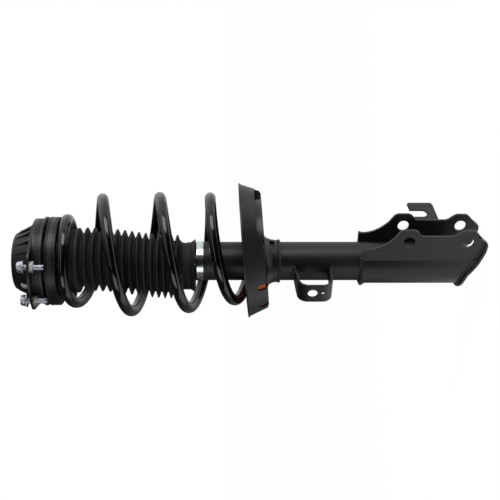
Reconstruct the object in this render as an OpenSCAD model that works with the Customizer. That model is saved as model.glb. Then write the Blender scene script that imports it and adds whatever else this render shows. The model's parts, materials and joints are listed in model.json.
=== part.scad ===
// Suspension strut assembly: top mount, bearing, coil spring, bellows, damper and welded brackets.
// Millimetres. The damper axis is +Z, pointing at the top mount. The origin is the centre of
// the upper face of the mounting plate. +X is the side on which the knuckle bracket opens.

/* [Top mount] */
// Thickness of the mounting plate
plate_t = 3; // [2.5:0.1:4]
// Radius of the mounting plate between its lobes
plate_r = 56.5; // [55.5:0.5:57.5]
// Radius on which the three mounting bolts stand
bolt_circle_r = 63.5; // [63.5:0.5:66]
// Angle from the mirror plane to each bolt of the close pair
bolt_pair_angle = 22.8; // [20:0.2:30]
// Radius of the lobe round each bolt
lobe_r = 9.5; // [8.5:0.5:11]
// Height of the stamped cup above the plate
cup_h = 27; // [26.5:0.5:30]
// Radius of the flat top of the stamped cup
cup_top_r = 34.5; // [33:0.5:36]
// Radius of the foot of the cup's skirt
cup_foot_r = 44; // [43.5:0.5:46]
// Sheet thickness of the cup
cup_wall = 2.5; // [2:0.1:3]
// Radius of the opening over the rod nut
cup_opening_r = 17; // [15:0.5:20]
// Number of crimped ribs round the cup's skirt
cup_ribs = 20; // [12:1:24]
// Diameter of the plugs in the cup's skirt
plug_d = 10.5; // [9:0.5:13]
// Height of the housing below the plate
housing_h = 13; // [12.5:0.5:16]
// Running gap between the housing and the turning spring seat
mount_gap = 3.5; // [3:0.1:4]

/* [Mount fasteners] */
// Thread diameter of the mounting bolts
bolt_d = 8; // [7:0.5:9]
// Length of the mounting bolts under the head
bolt_len = 25; // [20:1:25]
// Height at which the flange heads stand above the plate before fitting
bolt_stand = 4.5; // [4:0.5:9]
// Width across flats of the bolt heads
bolt_af = 13; // [12:0.5:13]
// Diameter of the flange under the bolt heads
bolt_flange_d = 18; // [16:0.5:19]
// Height of the weld nuts
weld_nut_h = 5; // [4:0.2:8]
// Width across flats of the weld nuts
weld_nut_af = 12.6; // [12:0.1:13]
// Diameter of the rod's threaded stud
stud_d = 14; // [12:0.5:15]
// Width across flats of the rod nut
rod_nut_af = 21; // [20:0.5:24]
// Height of the rod nut
rod_nut_h = 11; // [8:0.5:11]

/* [Bearing] */
// Diameter of the bearing balls
ball_d = 5.4; // [5:0.1:5.6]
// Radius of the ball circle
ball_circle_r = 44; // [43.5:0.25:44.5]
// Number of bearing balls
ball_count = 24; // [16:1:30]
// Thickness of each bearing race
race_t = 2; // [1.8:0.1:2.2]
// Radial width of each bearing race
race_w = 11; // [10:0.5:11]
// Thickness of the ball cage
cage_t = 1.8; // [1.2:0.1:2]

/* [Upper spring seat] */
// Radius of the upper spring seat
seat_r = 59; // [58.5:0.1:59.3]
// Height of the seat's rim
seat_rim_h = 12.5; // [11.5:0.5:13]
// Outer radius of the hub that centres the spring
hub_r = 46; // [45.5:0.25:46.5]
// Length of the hub below the seat's upper face
hub_len = 23.5; // [22:0.5:26]
// Thickness of the rubber isolator
isolator_t = 5; // [4:0.5:6]

/* [Coil spring] */
// Diameter of the spring wire
wire_d = 14.5; // [13:0.25:15]
// Mean radius of the spring's upper end coil
spring_end_r = 55; // [54.75:0.25:56]
// Mean radius of the spring's widest coils
spring_mid_r = 73.8; // [70:0.2:75]
// Mean radius of the coil that lies in the lower seat
spring_low_r = 67; // [65:0.5:68]
// Part turn of wire before the spring starts to climb down, in degrees
spring_lead = 150; // [120:10:160]
// Turning angle from the first knot to the tip in the lower seat, in degrees
spring_turn = 1660; // [1600:10:1690]

/* [Dust boot] */
// Outer radius of the boot's collar
boot_r = 42.9; // [41:0.1:42.9]
// Radius of the boot's valleys
boot_valley_r = 34; // [33:0.5:36]
// Wall of the boot
boot_wall = 1.5; // [1:0.1:2]
// Number of ribs down the boot
boot_ribs = 15; // [12:1:16]
// Radius of the neck above the boot's lip
boot_neck_r = 31; // [30.5:0.5:33]
// Radius of the boot's flared lip
boot_lip_r = 35; // [34:0.5:38]

/* [Damper] */
// Outer diameter of the damper tube
tube_d = 51; // [50:0.5:52]
// Wall of the damper tube
tube_wall = 2.5; // [2:0.1:2.8]
// Depth of the damper tube's upper end below the mounting plate
tube_top = 220.4; // [216:0.4:224]
// Depth of the damper tube's closed end
tube_end = 545; // [540:1:556]
// Height of the zinc plated cap over the tube's end
cap_h = 9.9; // [9:0.1:11]
// Diameter of the piston rod
rod_d = 22; // [20:0.5:22]
// Bore of the pressure tube
bore_d = 32; // [30:0.5:33]
// Wall of the pressure tube
pressure_wall = 1.6; // [1.2:0.1:2]
// Length of the rod guide
guide_len = 22; // [18:1:26]
// Length of the bump stop
bump_len = 68; // [55:1:70]
// Radius of the bump stop's widest rings
bump_r = 24; // [21:0.5:24]

/* [Lower spring seat] */
// Room between the last coil's wire and the edge of the dish's base
dish_margin = 2.45; // [2:0.05:4]
// How far the dish's rim stands out from its base
dish_flare = 10.2; // [9:0.1:13]
// Depth of the dish
dish_depth = 25.7; // [22:0.1:30]
// Depth of the dish's base below the mounting plate, on the dish's own axis
dish_base_z = 301.5; // [300:0.5:306]
// Distance of the dish's axis from the damper axis
dish_offset = 18.6; // [17:0.2:19]
// Tilt of the dish towards the knuckle side
dish_tilt = 5; // [4:0.25:6]
// Sheet thickness of the dish
dish_wall = 2.5; // [2:0.1:3]
// Height of the ramp on which the last coil leaves the dish
dish_ramp = 8.7; // [6:0.1:9]
// Thickness of the rubber pad in the dish
pad_t = 2.2; // [1.5:0.1:2.5]
// Width of the drain slots in the dish's wall
drain_w = 8.5; // [8:0.5:13]
// Length of the welded collar
collar_len = 13; // [12:0.5:22]

/* [Knuckle bracket] */
// Sheet thickness of the knuckle bracket
bracket_t = 3.5; // [3:0.1:4]
// Gap between the ears, where the knuckle is held
knuckle_gap = 42.3; // [40:0.1:44]
// Diameter of the knuckle bolt holes
knuckle_hole_d = 15; // [12:0.5:16]
// Distance from the damper axis to the knuckle holes
knuckle_hole_x = 41.4; // [40:0.2:43]
// Depth of the upper knuckle hole below the mounting plate
knuckle_hole_z = 485.2; // [483:0.2:488]
// Distance between the two knuckle holes
knuckle_pitch = 75.5; // [72:0.5:78]
// Depth of the bracket's upper edge below the mounting plate
bracket_top = 427; // [424:0.5:430]
// Distance from the damper axis to the outer edge of the ears
ear_x = 58.6; // [56.5:0.1:60]

/* [Hose and wire brackets] */
// Sheet thickness of the hose bracket
hose_t = 2.5; // [2:0.1:3.5]
// Distance from the damper axis to the hose bracket's outer face
hose_x = 65.2; // [62:0.2:68]
// Width of the hose bracket
hose_w = 27.4; // [25:0.2:30]
// Direction of the hose bracket round the tube
hose_angle = -100; // [-106:1:-94]
// Depth of the hose bracket's upper edge at the tube
hose_top = 339; // [336:0.5:345]
// Height of the hose bracket at the tube
hose_h = 47.5; // [44:0.5:54]
// Diameter of the hose bracket's main hole
hose_hole_d = 12.7; // [9:0.1:13]
// Diameter of the hose bracket's locating hole
hose_pin_d = 4.1; // [3:0.1:6]
// Sheet thickness of the wire bracket
wire_t = 2.5; // [2:0.1:3]
// Reach of the wire bracket's tab
wire_reach = 33; // [30:1:38]
// Diameter of the slot in the wire bracket
wire_slot_d = 12.7; // [10:0.1:15]

/* [Hidden] */
$fn = 64;

// Clearance between pieces that are pressed, bonded or welded together
seat_gap = 0.1;
// Clearance of a shaft in its bore
run_gap = 0.05;
// Clearance between pieces that move past each other without a fit
free_gap = 0.3;
// How far a cutting shape stands past the face that it cuts
over = 1;

// Mount: heights are measured from the plate's upper face
bolt_angles = [-90 - bolt_pair_angle, -90 + bolt_pair_angle, 90];
plate_hole_r = cup_foot_r - 2;
house_z = -plate_t - housing_h;
seat_z = house_z - mount_gap;
ball_z = (house_z + seat_z) / 2;
race_face = ball_d / 2 - 0.7;
race_back = race_face + race_t;
house_floor_z = ball_z + race_back + 2.5;
house_bore_r = ball_circle_r - race_w / 2 - 5;
skirt_r = bolt_circle_r - bolt_d / 2 - 0.7;
cup_flange_r = cup_foot_r + 8;
stud_r = stud_d / 2;
rod_r = rod_d / 2;
shoulder_z = house_z;
cup_floor_t = 2;
sleeve_z = shoulder_z + cup_floor_t;
sleeve_h = 24;
sleeve_r = stud_r + 5;
sleeve_flange_r = 24;
sleeve_flange_t = 3;
washer_t = 3;
washer_z = sleeve_z + sleeve_h;
nut_z = washer_z + washer_t;

// Upper seat and boot
hub_wall = 2.8;
hub_inner_r = hub_r - hub_wall;
seat_under_z = seat_z - 8.5;
rim_wall = 1.3;
rim_end_z = seat_z - seat_rim_h;
isolator_end_z = seat_under_z - isolator_t;
hub_end_z = seat_z - hub_len;
boot_top_z = ball_z - race_back - 3;
collar_end_z = hub_end_z - 13.5;
boot_end_z = -tube_top + cap_h + 0.5;

// Damper, from the tube's upper end down
tube_r = tube_d / 2;
tube_in_r = tube_r - tube_wall;
bore_r = bore_d / 2;
guide_top_z = -tube_top - 4.6;
guide_end_z = guide_top_z - guide_len;
guide_step_z = guide_end_z + 10;
seal_h = 7;
stop_h = 6;
rod_step_z = guide_end_z - free_gap - stop_h - 5;
piston_h = 22;
spigot_r = 6;
piston_nut_h = 10;
tube_floor = 4;
valve_z = -tube_end + tube_floor;
valve_seat_z = valve_z + bore_d * 0.4;

// Lower seat and brackets
wire_r = wire_d / 2;
dish_base_r = spring_low_r + wire_r + dish_margin;
dish_rim_r = dish_base_r + dish_flare;
pad_clear = 0.35;
wire_over_dish = dish_wall + pad_t + pad_clear + wire_r;
collar_r = tube_r + seat_gap + dish_wall + 0.5;
bracket_in_r = tube_r + seat_gap;
bracket_out_r = bracket_in_r + bracket_t;
ear_in_y = knuckle_gap / 2;
ear_out_y = ear_in_y + bracket_t;
hole_low_z = knuckle_hole_z + knuckle_pitch;
bracket_end = hole_low_z + 24.8;

// Points on an arc round c from angle a0 to a1, in n steps
function arc(c, r, a0, a1, n = 6) =
    [for (i = [0:n]) let (a = a0 + (a1 - a0) * i / n) c + r * [cos(a), sin(a)]];

// A smooth curve through evenly spaced knots: t counts knots from the first one
function knot(k, i) = k[max(0, min(len(k) - 1, i))];
function smooth(k, t) =
    let (i = floor(t), f = t - i)
    let (a = knot(k, i), b = knot(k, i + 1))
    let (ma = (b - knot(k, i - 1)) / 2, mb = (knot(k, i + 2) - a) / 2)
    a * (2 * f ^ 3 - 3 * f ^ 2 + 1) + ma * (f ^ 3 - 2 * f ^ 2 + f)
        + b * (3 * f ^ 2 - 2 * f ^ 3) + mb * (f ^ 3 - f ^ 2);

module ring(r0, r1, z0, z1) {
    rotate_extrude() polygon([[r0, z0], [r1, z0], [r1, z1], [r0, z1]]);
}

module hexagon(af, h) {
    cylinder(h = h, d = af / cos(30), $fn = 6);
}

module at_bolts() {
    for (a = bolt_angles) rotate(a) translate([bolt_circle_r, 0, 0]) children();
}

// ---- Top mount ----

module mount_plate() {
    neck = 14;
    ear_r = bolt_circle_r + 7;
    ear_half = bolt_pair_angle + 8;
    end_r = lobe_r + 1.5;
    end_c = (ear_r - end_r) * [sin(ear_half), -cos(ear_half)];
    end_t = end_c + end_r * [cos(18.5), -sin(18.5)];
    ear_root = plate_r * [cos(12), -sin(12)];
    color([0.09, 0.09, 0.1]) difference() {
        translate([0, 0, -plate_t]) linear_extrude(plate_t) union() {
            circle(plate_r);
            for (side = [-1, 1]) translate([side * end_c[0], end_c[1]]) circle(end_r);
            polygon([[-ear_root[0], ear_root[1]], [-end_t[0], end_t[1]],
                each arc([0, 0], ear_r, -90 - ear_half, -90 + ear_half, 14), end_t, ear_root]);
            rotate(90) {
                translate([bolt_circle_r, 0]) circle(lobe_r);
                polygon([[bolt_circle_r + 2, -lobe_r + 0.2], [bolt_circle_r + 2, lobe_r - 0.2],
                    [plate_r - neck, lobe_r + neck], [plate_r - neck, -lobe_r - neck]]);
            }
        }
        translate([0, 0, -plate_t - over]) cylinder(h = plate_t + 2 * over, r = plate_hole_r);
        at_bolts() translate([0, 0, -plate_t - over])
            cylinder(h = plate_t + 2 * over, d = bolt_d + 1);
    }
}

// The skirt leans in from the foot to the rounded edge of the cup's top
function cup_outer(t) = [
    [cup_flange_r, 0], each arc([cup_flange_r - 1, t - 1], 1, 0, 90, 3),
    each arc([cup_foot_r + 6, t + 6], 6, 270, 205, 5),
    each arc([cup_top_r, cup_h - 3], 3, 20, 90, 4),
    [cup_opening_r, cup_h]];

module cup_shell() {
    skirt_in = cup_wall * 1.05;
    rotate_extrude() polygon([
        each cup_outer(cup_wall),
        [cup_opening_r, cup_h - cup_wall],
        each arc([cup_top_r - 0.5, cup_h - cup_wall - 2], 2, 90, 20, 3),
        [cup_foot_r + 1.6 - skirt_in, 5.5],
        [cup_foot_r + 2.5 - skirt_in + 2, 0]]);
}

// The plugs stand square to the skirt, flush with its outer face
plug_t = 2.3;
plug_angles = [-108, -72];
skirt_foot = [cup_foot_r + 0.56, cup_wall + 3.46];
skirt_top = [cup_top_r + 2.82, cup_h - 1.97];
skirt_tilt = 90 - atan2(skirt_foot[0] - skirt_top[0], skirt_top[1] - skirt_foot[1]);
plug_centre = skirt_foot + 0.25 * (skirt_top - skirt_foot);

module plug_place() {
    for (a = plug_angles) rotate(a) translate([plug_centre[0], 0, plug_centre[1]])
        rotate([0, skirt_tilt, 0]) translate([0, 0, -plug_t]) children();
}

module mount_cup() {
    rib_w = 3;
    rib_proud = 1;
    color([0.08, 0.08, 0.09]) difference() {
        union() {
            cup_shell();
            for (i = [0:cup_ribs - 1]) rotate(360 * (i + 0.5) / cup_ribs)
                translate([0, rib_w / 2, 0]) rotate([90, 0, 0]) linear_extrude(rib_w)
                    polygon([[cup_foot_r + 6, cup_wall - 0.2], [cup_foot_r + 6, cup_wall + rib_proud],
                        [cup_foot_r + 1.4 + rib_proud, 8], [cup_top_r + 4 + rib_proud, cup_h - 5],
                        [cup_top_r + 2, cup_h - 2], [cup_top_r + 1.5, cup_h - 5],
                        [cup_foot_r, 5.5]]);
        }
        plug_place() translate([0, 0, -seat_gap]) cylinder(h = 9, d = plug_d + 2 * seat_gap);
    }
}

module cup_plugs() {
    color([0.66, 0.62, 0.55]) difference() {
        plug_place() cylinder(h = plug_t, d = plug_d);
        plug_place() translate([0, 0, plug_t - 0.5]) cylinder(h = 2, d = plug_d - 4);
    }
}

module mount_rubber() {
    core_r = sleeve_r + seat_gap;
    low_z = sleeve_z + sleeve_flange_t + seat_gap;
    floor_z = max(house_floor_z, low_z - 6) + seat_gap;
    color([0.05, 0.05, 0.05]) rotate_extrude() polygon([
        [core_r, low_z], [sleeve_flange_r + 4, low_z], [sleeve_flange_r + 9, floor_z],
        [plate_r - 3.2, floor_z], [plate_r - 3.2, -plate_t - seat_gap],
        [plate_hole_r - seat_gap, -plate_t - seat_gap], [plate_hole_r - seat_gap, 4],
        [cup_top_r + 0.6, cup_h - 8], [cup_top_r - 1.2, cup_h - cup_wall - 1.5],
        [cup_top_r - 7, cup_h - cup_wall - 1.5], [sleeve_flange_r + 1.5, washer_z + 2],
        [sleeve_flange_r + 1.5, washer_z - seat_gap], [core_r, washer_z - seat_gap]]);
}

module mount_sleeve() {
    color([0.6, 0.6, 0.62]) {
        ring(stud_r + run_gap, sleeve_r, sleeve_z, sleeve_z + sleeve_h);
        ring(sleeve_r - over, sleeve_flange_r, sleeve_z, sleeve_z + sleeve_flange_t);
    }
}

module mount_housing() {
    race_in = ball_circle_r - race_w / 2 - seat_gap;
    race_out = ball_circle_r + race_w / 2 + seat_gap;
    groove = 0.8;
    skirt_z = house_z + 3.6;
    color([0.09, 0.09, 0.1]) rotate_extrude() polygon([
        [house_bore_r, house_z], [house_bore_r, house_floor_z], [plate_r - 3, house_floor_z],
        [plate_r - 3, -plate_t], [plate_r, -plate_t],
        for (z = [skirt_z + 6, skirt_z + 3]) each [[plate_r, z], [plate_r - groove, z - 0.4],
            [plate_r - groove, z - 1.2], [plate_r, z - 1.6]],
        [plate_r, skirt_z], [skirt_r - 0.5, skirt_z], [skirt_r, skirt_z - 0.5],
        [skirt_r, house_z + 0.8], [skirt_r - 0.8, house_z],
        [race_out, house_z], [race_out, ball_z + race_back],
        [race_in, ball_z + race_back], [race_in, house_z]]);
}

module mount_bolts() {
    flange_t = 2;
    head_h = 8.4;
    color([0.78, 0.8, 0.84]) at_bolts() translate([0, 0, bolt_stand]) {
        translate([0, 0, -bolt_len]) cylinder(h = bolt_len + 0.5, d = bolt_d);
        cylinder(h = flange_t, d1 = bolt_flange_d, d2 = bolt_flange_d - 2.4);
        intersection() {
            rotate(30) hexagon(bolt_af, head_h);
            cylinder(h = head_h, d1 = bolt_af / cos(30) + 5, d2 = bolt_af - 0.4);
        }
    }
}

module weld_nuts() {
    color([0.67, 0.64, 0.57]) at_bolts() translate([0, 0, -plate_t - weld_nut_h]) difference() {
        union() {
            rotate(30) hexagon(weld_nut_af, weld_nut_h);
            cylinder(h = 1.2, d1 = weld_nut_af + 0.4, d2 = weld_nut_af - 0.6);
        }
        translate([0, 0, -over]) cylinder(h = weld_nut_h + 2 * over, d = bolt_d + 2 * run_gap);
    }
}

module rod_nut() {
    color([0.7, 0.7, 0.72]) translate([0, 0, nut_z]) difference() {
        intersection() {
            hexagon(rod_nut_af, rod_nut_h);
            cylinder(h = rod_nut_h, d1 = rod_nut_af / cos(30) + 7, d2 = rod_nut_af - 0.4);
        }
        translate([0, 0, -over]) cylinder(h = rod_nut_h + 2 * over, r = stud_r + run_gap);
    }
}

module rod_washer() {
    color([0.55, 0.55, 0.56])
        ring(stud_r + run_gap, sleeve_flange_r, washer_z, washer_z + washer_t);
}

module bump_stop_cup() {
    skirt_h = 10;
    lip_r = bump_r + 4;
    color([0.5, 0.5, 0.52]) rotate_extrude() polygon([
        [stud_r + run_gap, shoulder_z], [lip_r - cup_floor_t, shoulder_z],
        [lip_r - cup_floor_t, shoulder_z - skirt_h], [lip_r, shoulder_z - skirt_h],
        [lip_r, shoulder_z + 0.5], [lip_r - 1.5, sleeve_z], [stud_r + run_gap, sleeve_z]]);
}

module bump_stop() {
    ring_n = 4;
    head = 14;
    pitch = (bump_len - head) / ring_n;
    bore = rod_r + free_gap;
    top = shoulder_z - seat_gap;
    color([0.85, 0.78, 0.55]) rotate_extrude() polygon([
        [bore, top], [bump_r, top],
        for (i = [0:ring_n - 1]) let (z = top - head - i * pitch, r = bump_r - i * 1.2)
            each [[r, z], [r - 4.5, z - 4], [r - 2.2, z - pitch + 2]],
        [bump_r - 9, top - bump_len], [bore, top - bump_len]]);
}

module piston_rod() {
    color([0.85, 0.86, 0.88]) {
        translate([0, 0, rod_step_z]) cylinder(h = shoulder_z - rod_step_z, r = rod_r);
        translate([0, 0, shoulder_z - over]) cylinder(h = nut_z + rod_nut_h + 1.5 - shoulder_z + over,
            r = stud_r);
        translate([0, 0, rod_step_z - piston_h - piston_nut_h - 2])
            cylinder(h = piston_h + piston_nut_h + 2 + over, r = spigot_r);
    }
}

module rebound_stop() {
    color([0.2, 0.2, 0.2]) ring(rod_r + run_gap, bore_r - 1.2,
        guide_end_z - free_gap - stop_h, guide_end_z - free_gap);
}

module piston() {
    land = bore_r - 0.5;
    groove = bore_r - 2;
    color([0.45, 0.45, 0.47]) difference() {
        rotate_extrude() polygon([
            [spigot_r + run_gap, rod_step_z], [land, rod_step_z], [land, rod_step_z - 5],
            [groove, rod_step_z - 5], [groove, rod_step_z - 17], [land, rod_step_z - 17],
            [land, rod_step_z - piston_h], [spigot_r + run_gap, rod_step_z - piston_h]]);
        for (a = [30:60:330]) rotate(a) translate([spigot_r + 4, 0, rod_step_z - piston_h - over])
            cylinder(h = piston_h + 2 * over, r = 1.4);
    }
}

module piston_band() {
    color([0.75, 0.72, 0.62])
        ring(bore_r - 2 + run_gap, bore_r - run_gap, rod_step_z - 16.9, rod_step_z - 5.1);
}

module piston_nut() {
    top = rod_step_z - piston_h;
    color([0.6, 0.6, 0.62]) translate([0, 0, top - piston_nut_h]) difference() {
        hexagon(18, piston_nut_h);
        translate([0, 0, -over]) cylinder(h = piston_nut_h + 2 * over, r = spigot_r + run_gap);
    }
}

// ---- Bearing ----

// A race lies side away from the balls: 1 above them, -1 below them
module race(side) {
    in_r = ball_circle_r - race_w / 2;
    out_r = ball_circle_r + race_w / 2;
    color([0.62, 0.63, 0.65]) difference() {
        ring(in_r, out_r, min(side * race_face, side * race_back) + ball_z,
            max(side * race_face, side * race_back) + ball_z);
        rotate_extrude() translate([ball_circle_r, ball_z]) circle(ball_d / 2 + free_gap);
    }
}

module bearing_upper_race() {
    race(1);
}

module bearing_lower_race() {
    race(-1);
}

module at_balls() {
    for (i = [0:ball_count - 1]) rotate(360 * i / ball_count) translate([ball_circle_r, 0, ball_z])
        children();
}

module ball_cage() {
    half_w = ball_d / 2 + 1.8;
    color([0.75, 0.7, 0.5]) difference() {
        ring(ball_circle_r - half_w, ball_circle_r + half_w, ball_z - cage_t / 2, ball_z + cage_t / 2);
        at_balls() translate([0, 0, -ball_d / 2]) cylinder(h = ball_d, r = ball_d / 2 + seat_gap);
    }
}

module bearing_balls() {
    color([0.8, 0.8, 0.82]) at_balls() sphere(d = ball_d);
}

// ---- Upper spring seat, spring and boot ----

module upper_spring_seat() {
    race_in = ball_circle_r - race_w / 2 - seat_gap;
    race_out = ball_circle_r + race_w / 2 + seat_gap;
    pocket_z = ball_z - race_back;
    color([0.07, 0.07, 0.08]) rotate_extrude() polygon([
        [race_in - 2.2, seat_z], [race_in - 2.2, boot_top_z + seat_gap],
        [hub_inner_r, boot_top_z + seat_gap], [hub_inner_r, hub_end_z + 1], [hub_inner_r + 0.8, hub_end_z],
        [hub_r - 0.8, hub_end_z], [hub_r, hub_end_z + 2],
        [hub_r, seat_under_z], [seat_r - rim_wall - 0.6, seat_under_z],
        [seat_r - rim_wall - 0.6, rim_end_z], [seat_r - 0.6, rim_end_z],
        for (z = [rim_end_z + 1.6, seat_z - 3.8]) each [[seat_r - 0.5, z], [seat_r - 1.5, z + 0.3],
            [seat_r - 1.5, z + 0.8], [seat_r - 0.5, z + 1.1]],
        [seat_r, seat_z - 1], [seat_r - 1, seat_z],
        [race_out, seat_z], [race_out, pocket_z], [race_in, pocket_z], [race_in, seat_z]]);
}

module upper_isolator() {
    color([0.06, 0.06, 0.06]) ring(hub_r + seat_gap, seat_r - rim_wall - 0.6 - seat_gap,
        isolator_end_z, seat_under_z - seat_gap / 2);
}

// Spring centreline, by the angle t turned from its first knot. The knots are half turns apart:
// the share of the spring's height that it has come down, its radius and its sideways offset.
spring_drop = [0, 0, 0.048, 0.187, 0.346, 0.491, 0.651, 0.76, 0.895, 1.017, 1.04, 1.04];
spring_widen = [0, 0, 0.08, 1, 1, 0.95, 0.95, 0.73, 0.64, 0.64, 0.64, 0.64];
spring_shift = [0, 0, 0.09, 0.49, 0.49, 0.62, 0.62, 0.86, 0.98, 1, 1, 1];
// How far the first coil and the coil over the dish lean, on the side away from the hose bracket
spring_top_lean = 4.8;
spring_lean = 9.2;
spring_ease = 2.2;
// The ramp under the last coil: the sector it fills, its inner radius and its slope
ramp_from = -60;
ramp_to = 35;
ramp_r = spring_low_r - 3.5;
ramp_gap = 0.4;
ramp_run = 20;
ramp_tilt = atan(dish_ramp / ((ramp_r + wire_r) * sin(ramp_run)));
spring_start_angle = 30;
spring_rings = 24;
spring_sides = 8;
spring_top_z = isolator_end_z - pad_clear - wire_r;
spring_low_z = -dish_base_z + wire_over_dish;

function spring_r(t) = spring_end_r
    + (t > 720 ? spring_mid_r - spring_end_r + (spring_low_r - spring_mid_r)
        * min(1, (t - 720) / 540) : (spring_mid_r - spring_end_r) * smooth(spring_widen, t / 180 + 1));
function spring_x(t) = dish_offset * smooth(spring_shift, t / 180 + 1);
function step_up(t, from, to) =
    let (f = max(0, min(1, (t - from) / (to - from))))
    f * f * (3 - 2 * f);
function ease_max(a, b) = (a + b + sqrt((a - b) * (a - b) + spring_ease * spring_ease)) / 2;
// The lowest that the wire may lie: on the pad, or on the ramp's flat top
function spring_seat(t) =
    spring_low_z + tan(dish_tilt) * spring_low_r * cos(spring_start_angle - t)
        + (dish_ramp - pad_t + ramp_gap) * (1 - step_up(t, 1500, 1570));
function spring_z(t) =
    let (fall = max(0, smooth(spring_drop, t / 180 + 1)) * (spring_top_z - spring_low_z))
    let (low_lean = 0.4 * step_up(t, 560, 700) + 0.6 * step_up(t, 840, 1000)
        - step_up(t, 1360, 1480))
    let (top_lean = step_up(t, 60, 130) - step_up(t, 230, 330))
    let (lean = sin(t) * (spring_lean * low_lean + spring_top_lean * top_lean))
    ease_max(spring_top_z - fall + lean, spring_seat(t));
function spring_point(t) =
    let (a = spring_start_angle - t, r = spring_r(t))
    [spring_x(t) + r * cos(a), r * sin(a), spring_z(t)];

spring_step = 360 / spring_rings;
spring_count = floor((spring_lead + spring_turn) / spring_step);
spring_path = [for (i = [0:spring_count]) spring_point(-spring_lead + i * spring_step)];
spring_gap = min([for (i = [0:spring_count]) each [for (j = [i + spring_rings / 2:1:spring_count])
    norm(spring_path[i] - spring_path[j])]]) - wire_d;
echo(spring_least_gap_mm = spring_gap);

// A tube of n sides and radius r along path, as points and triangles
function unit(v) = v / norm(v);
function tube_ring(path, i, r, n) =
    let (k = len(path) - 1)
    let (along = unit(path[min(k, i + 1)] - path[max(0, i - 1)]))
    let (side = unit(cross(along, [0, 0, 1])), up = cross(side, along))
    [for (j = [0:n - 1]) path[i] + r * (cos(360 * j / n) * side + sin(360 * j / n) * up)];
function quads(i, k, n) = [for (j = [0:n - 1])
    let (a = i * n + j, b = i * n + (j + 1) % n, c = k * n + j, d = k * n + (j + 1) % n)
    each [[a, b, d], [a, d, c]]];

module coil_spring() {
    n = spring_sides;
    points = [for (i = [0:spring_count]) each tube_ring(spring_path, i, wire_r, n)];
    faces = [
        for (i = [0:spring_count - 1]) each quads(i, i + 1, n),
        for (j = [1:n - 2]) [0, j + 1, j],
        for (j = [1:n - 2]) let (k = spring_count * n) [k, k + j, k + j + 1]];
    color([0.04, 0.04, 0.045]) polyhedron(points, faces);
}

// Bellows: ribs close up down the boot, and the boot sags to one side below its collar
boot_sides = 24;
boot_first_rib = 10.4;
boot_last_rib = 8;
boot_sag = [0, 0, 2.4, 1, -2.5, -6, -7.3, -6.1, -6.1];
boot_sag_angle = 30;
boot_neck_len = 16;
boot_rib_room = collar_end_z - boot_end_z - boot_neck_len - 8;
boot_rib_scale = boot_rib_room / ((boot_first_rib + boot_last_rib) / 2 * (boot_ribs - 1));
function rib_z(k) = collar_end_z - boot_rib_scale * (boot_first_rib * k
    - (boot_first_rib - boot_last_rib) * k * (k - 1) / 2 / (boot_ribs - 2));
boot_sag_top = hub_end_z - over;
function boot_shift(z) = z > boot_sag_top ? 0
    : smooth(boot_sag, 1 + 6 * (boot_sag_top - z) / (boot_sag_top - boot_end_z));

function boot_outer() = [
    [boot_r, boot_top_z], [boot_r, boot_sag_top], [boot_r, collar_end_z],
    for (k = [0:boot_ribs - 2]) each [
        [boot_valley_r, (rib_z(k) + rib_z(k + 1)) / 2], [boot_r - 0.6, rib_z(k + 1)]],
    [boot_valley_r, rib_z(boot_ribs - 1) - 4], [boot_neck_r, boot_end_z + boot_neck_len],
    [boot_neck_r, boot_end_z + 7], [boot_lip_r, boot_end_z + 1], [boot_lip_r, boot_end_z]];
function boot_profile() =
    let (skin = boot_outer(), k = len(skin) - 1)
    [each skin, for (i = [k:-1:0]) [skin[i][0] - boot_wall, skin[i][1]]];

module dust_boot() {
    profile = boot_profile();
    k = len(profile);
    n = boot_sides;
    points = [for (p = profile, j = [0:n - 1])
        let (a = 360 * j / n, s = boot_shift(p[1]))
        [p[0] * cos(a) + s * cos(boot_sag_angle), p[0] * sin(a) + s * sin(boot_sag_angle), p[1]]];
    faces = [for (i = [0:k - 1]) each quads(i, (i + 1) % k, n)];
    color([0.05, 0.05, 0.05]) polyhedron(points, faces);
}

// ---- Damper ----

module damper_tube() {
    edge = 3;
    color([0.07, 0.07, 0.08]) rotate_extrude() polygon([
        [tube_in_r, -tube_top], [tube_r, -tube_top],
        each arc([tube_r - edge, -tube_end + edge], edge, 0, -90, 4),
        [0, -tube_end], [0, valve_z], [tube_in_r, valve_z]]);
}

module gland_cap() {
    edge = 1.5;
    out_r = tube_r + 0.4;
    pocket_r = rod_r + 7;
    color([0.8, 0.82, 0.86]) rotate_extrude() polygon([
        [rod_r + 1, -tube_top + cap_h], each arc([out_r - edge, -tube_top + cap_h - edge], edge, 90, 0, 4),
        [out_r, -tube_top], [tube_in_r - seat_gap, -tube_top], [tube_in_r - seat_gap, guide_top_z],
        [pocket_r, guide_top_z], [pocket_r, guide_top_z + seal_h], [rod_r + 1, guide_top_z + seal_h]]);
}

module rod_seal() {
    color([0.1, 0.1, 0.1]) ring(rod_r + run_gap, rod_r + 7 - seat_gap,
        guide_top_z, guide_top_z + seal_h - seat_gap);
}

module rod_guide() {
    bore = rod_r + run_gap;
    color([0.4, 0.4, 0.42]) rotate_extrude() polygon([
        [bore, guide_top_z], [tube_in_r - seat_gap, guide_top_z], [tube_in_r - seat_gap, guide_step_z],
        [bore_r - seat_gap, guide_step_z], [bore_r - seat_gap, guide_end_z], [bore, guide_end_z]]);
}

module pressure_tube() {
    color([0.5, 0.5, 0.52]) ring(bore_r, bore_r + pressure_wall, valve_seat_z, guide_step_z);
}

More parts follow.
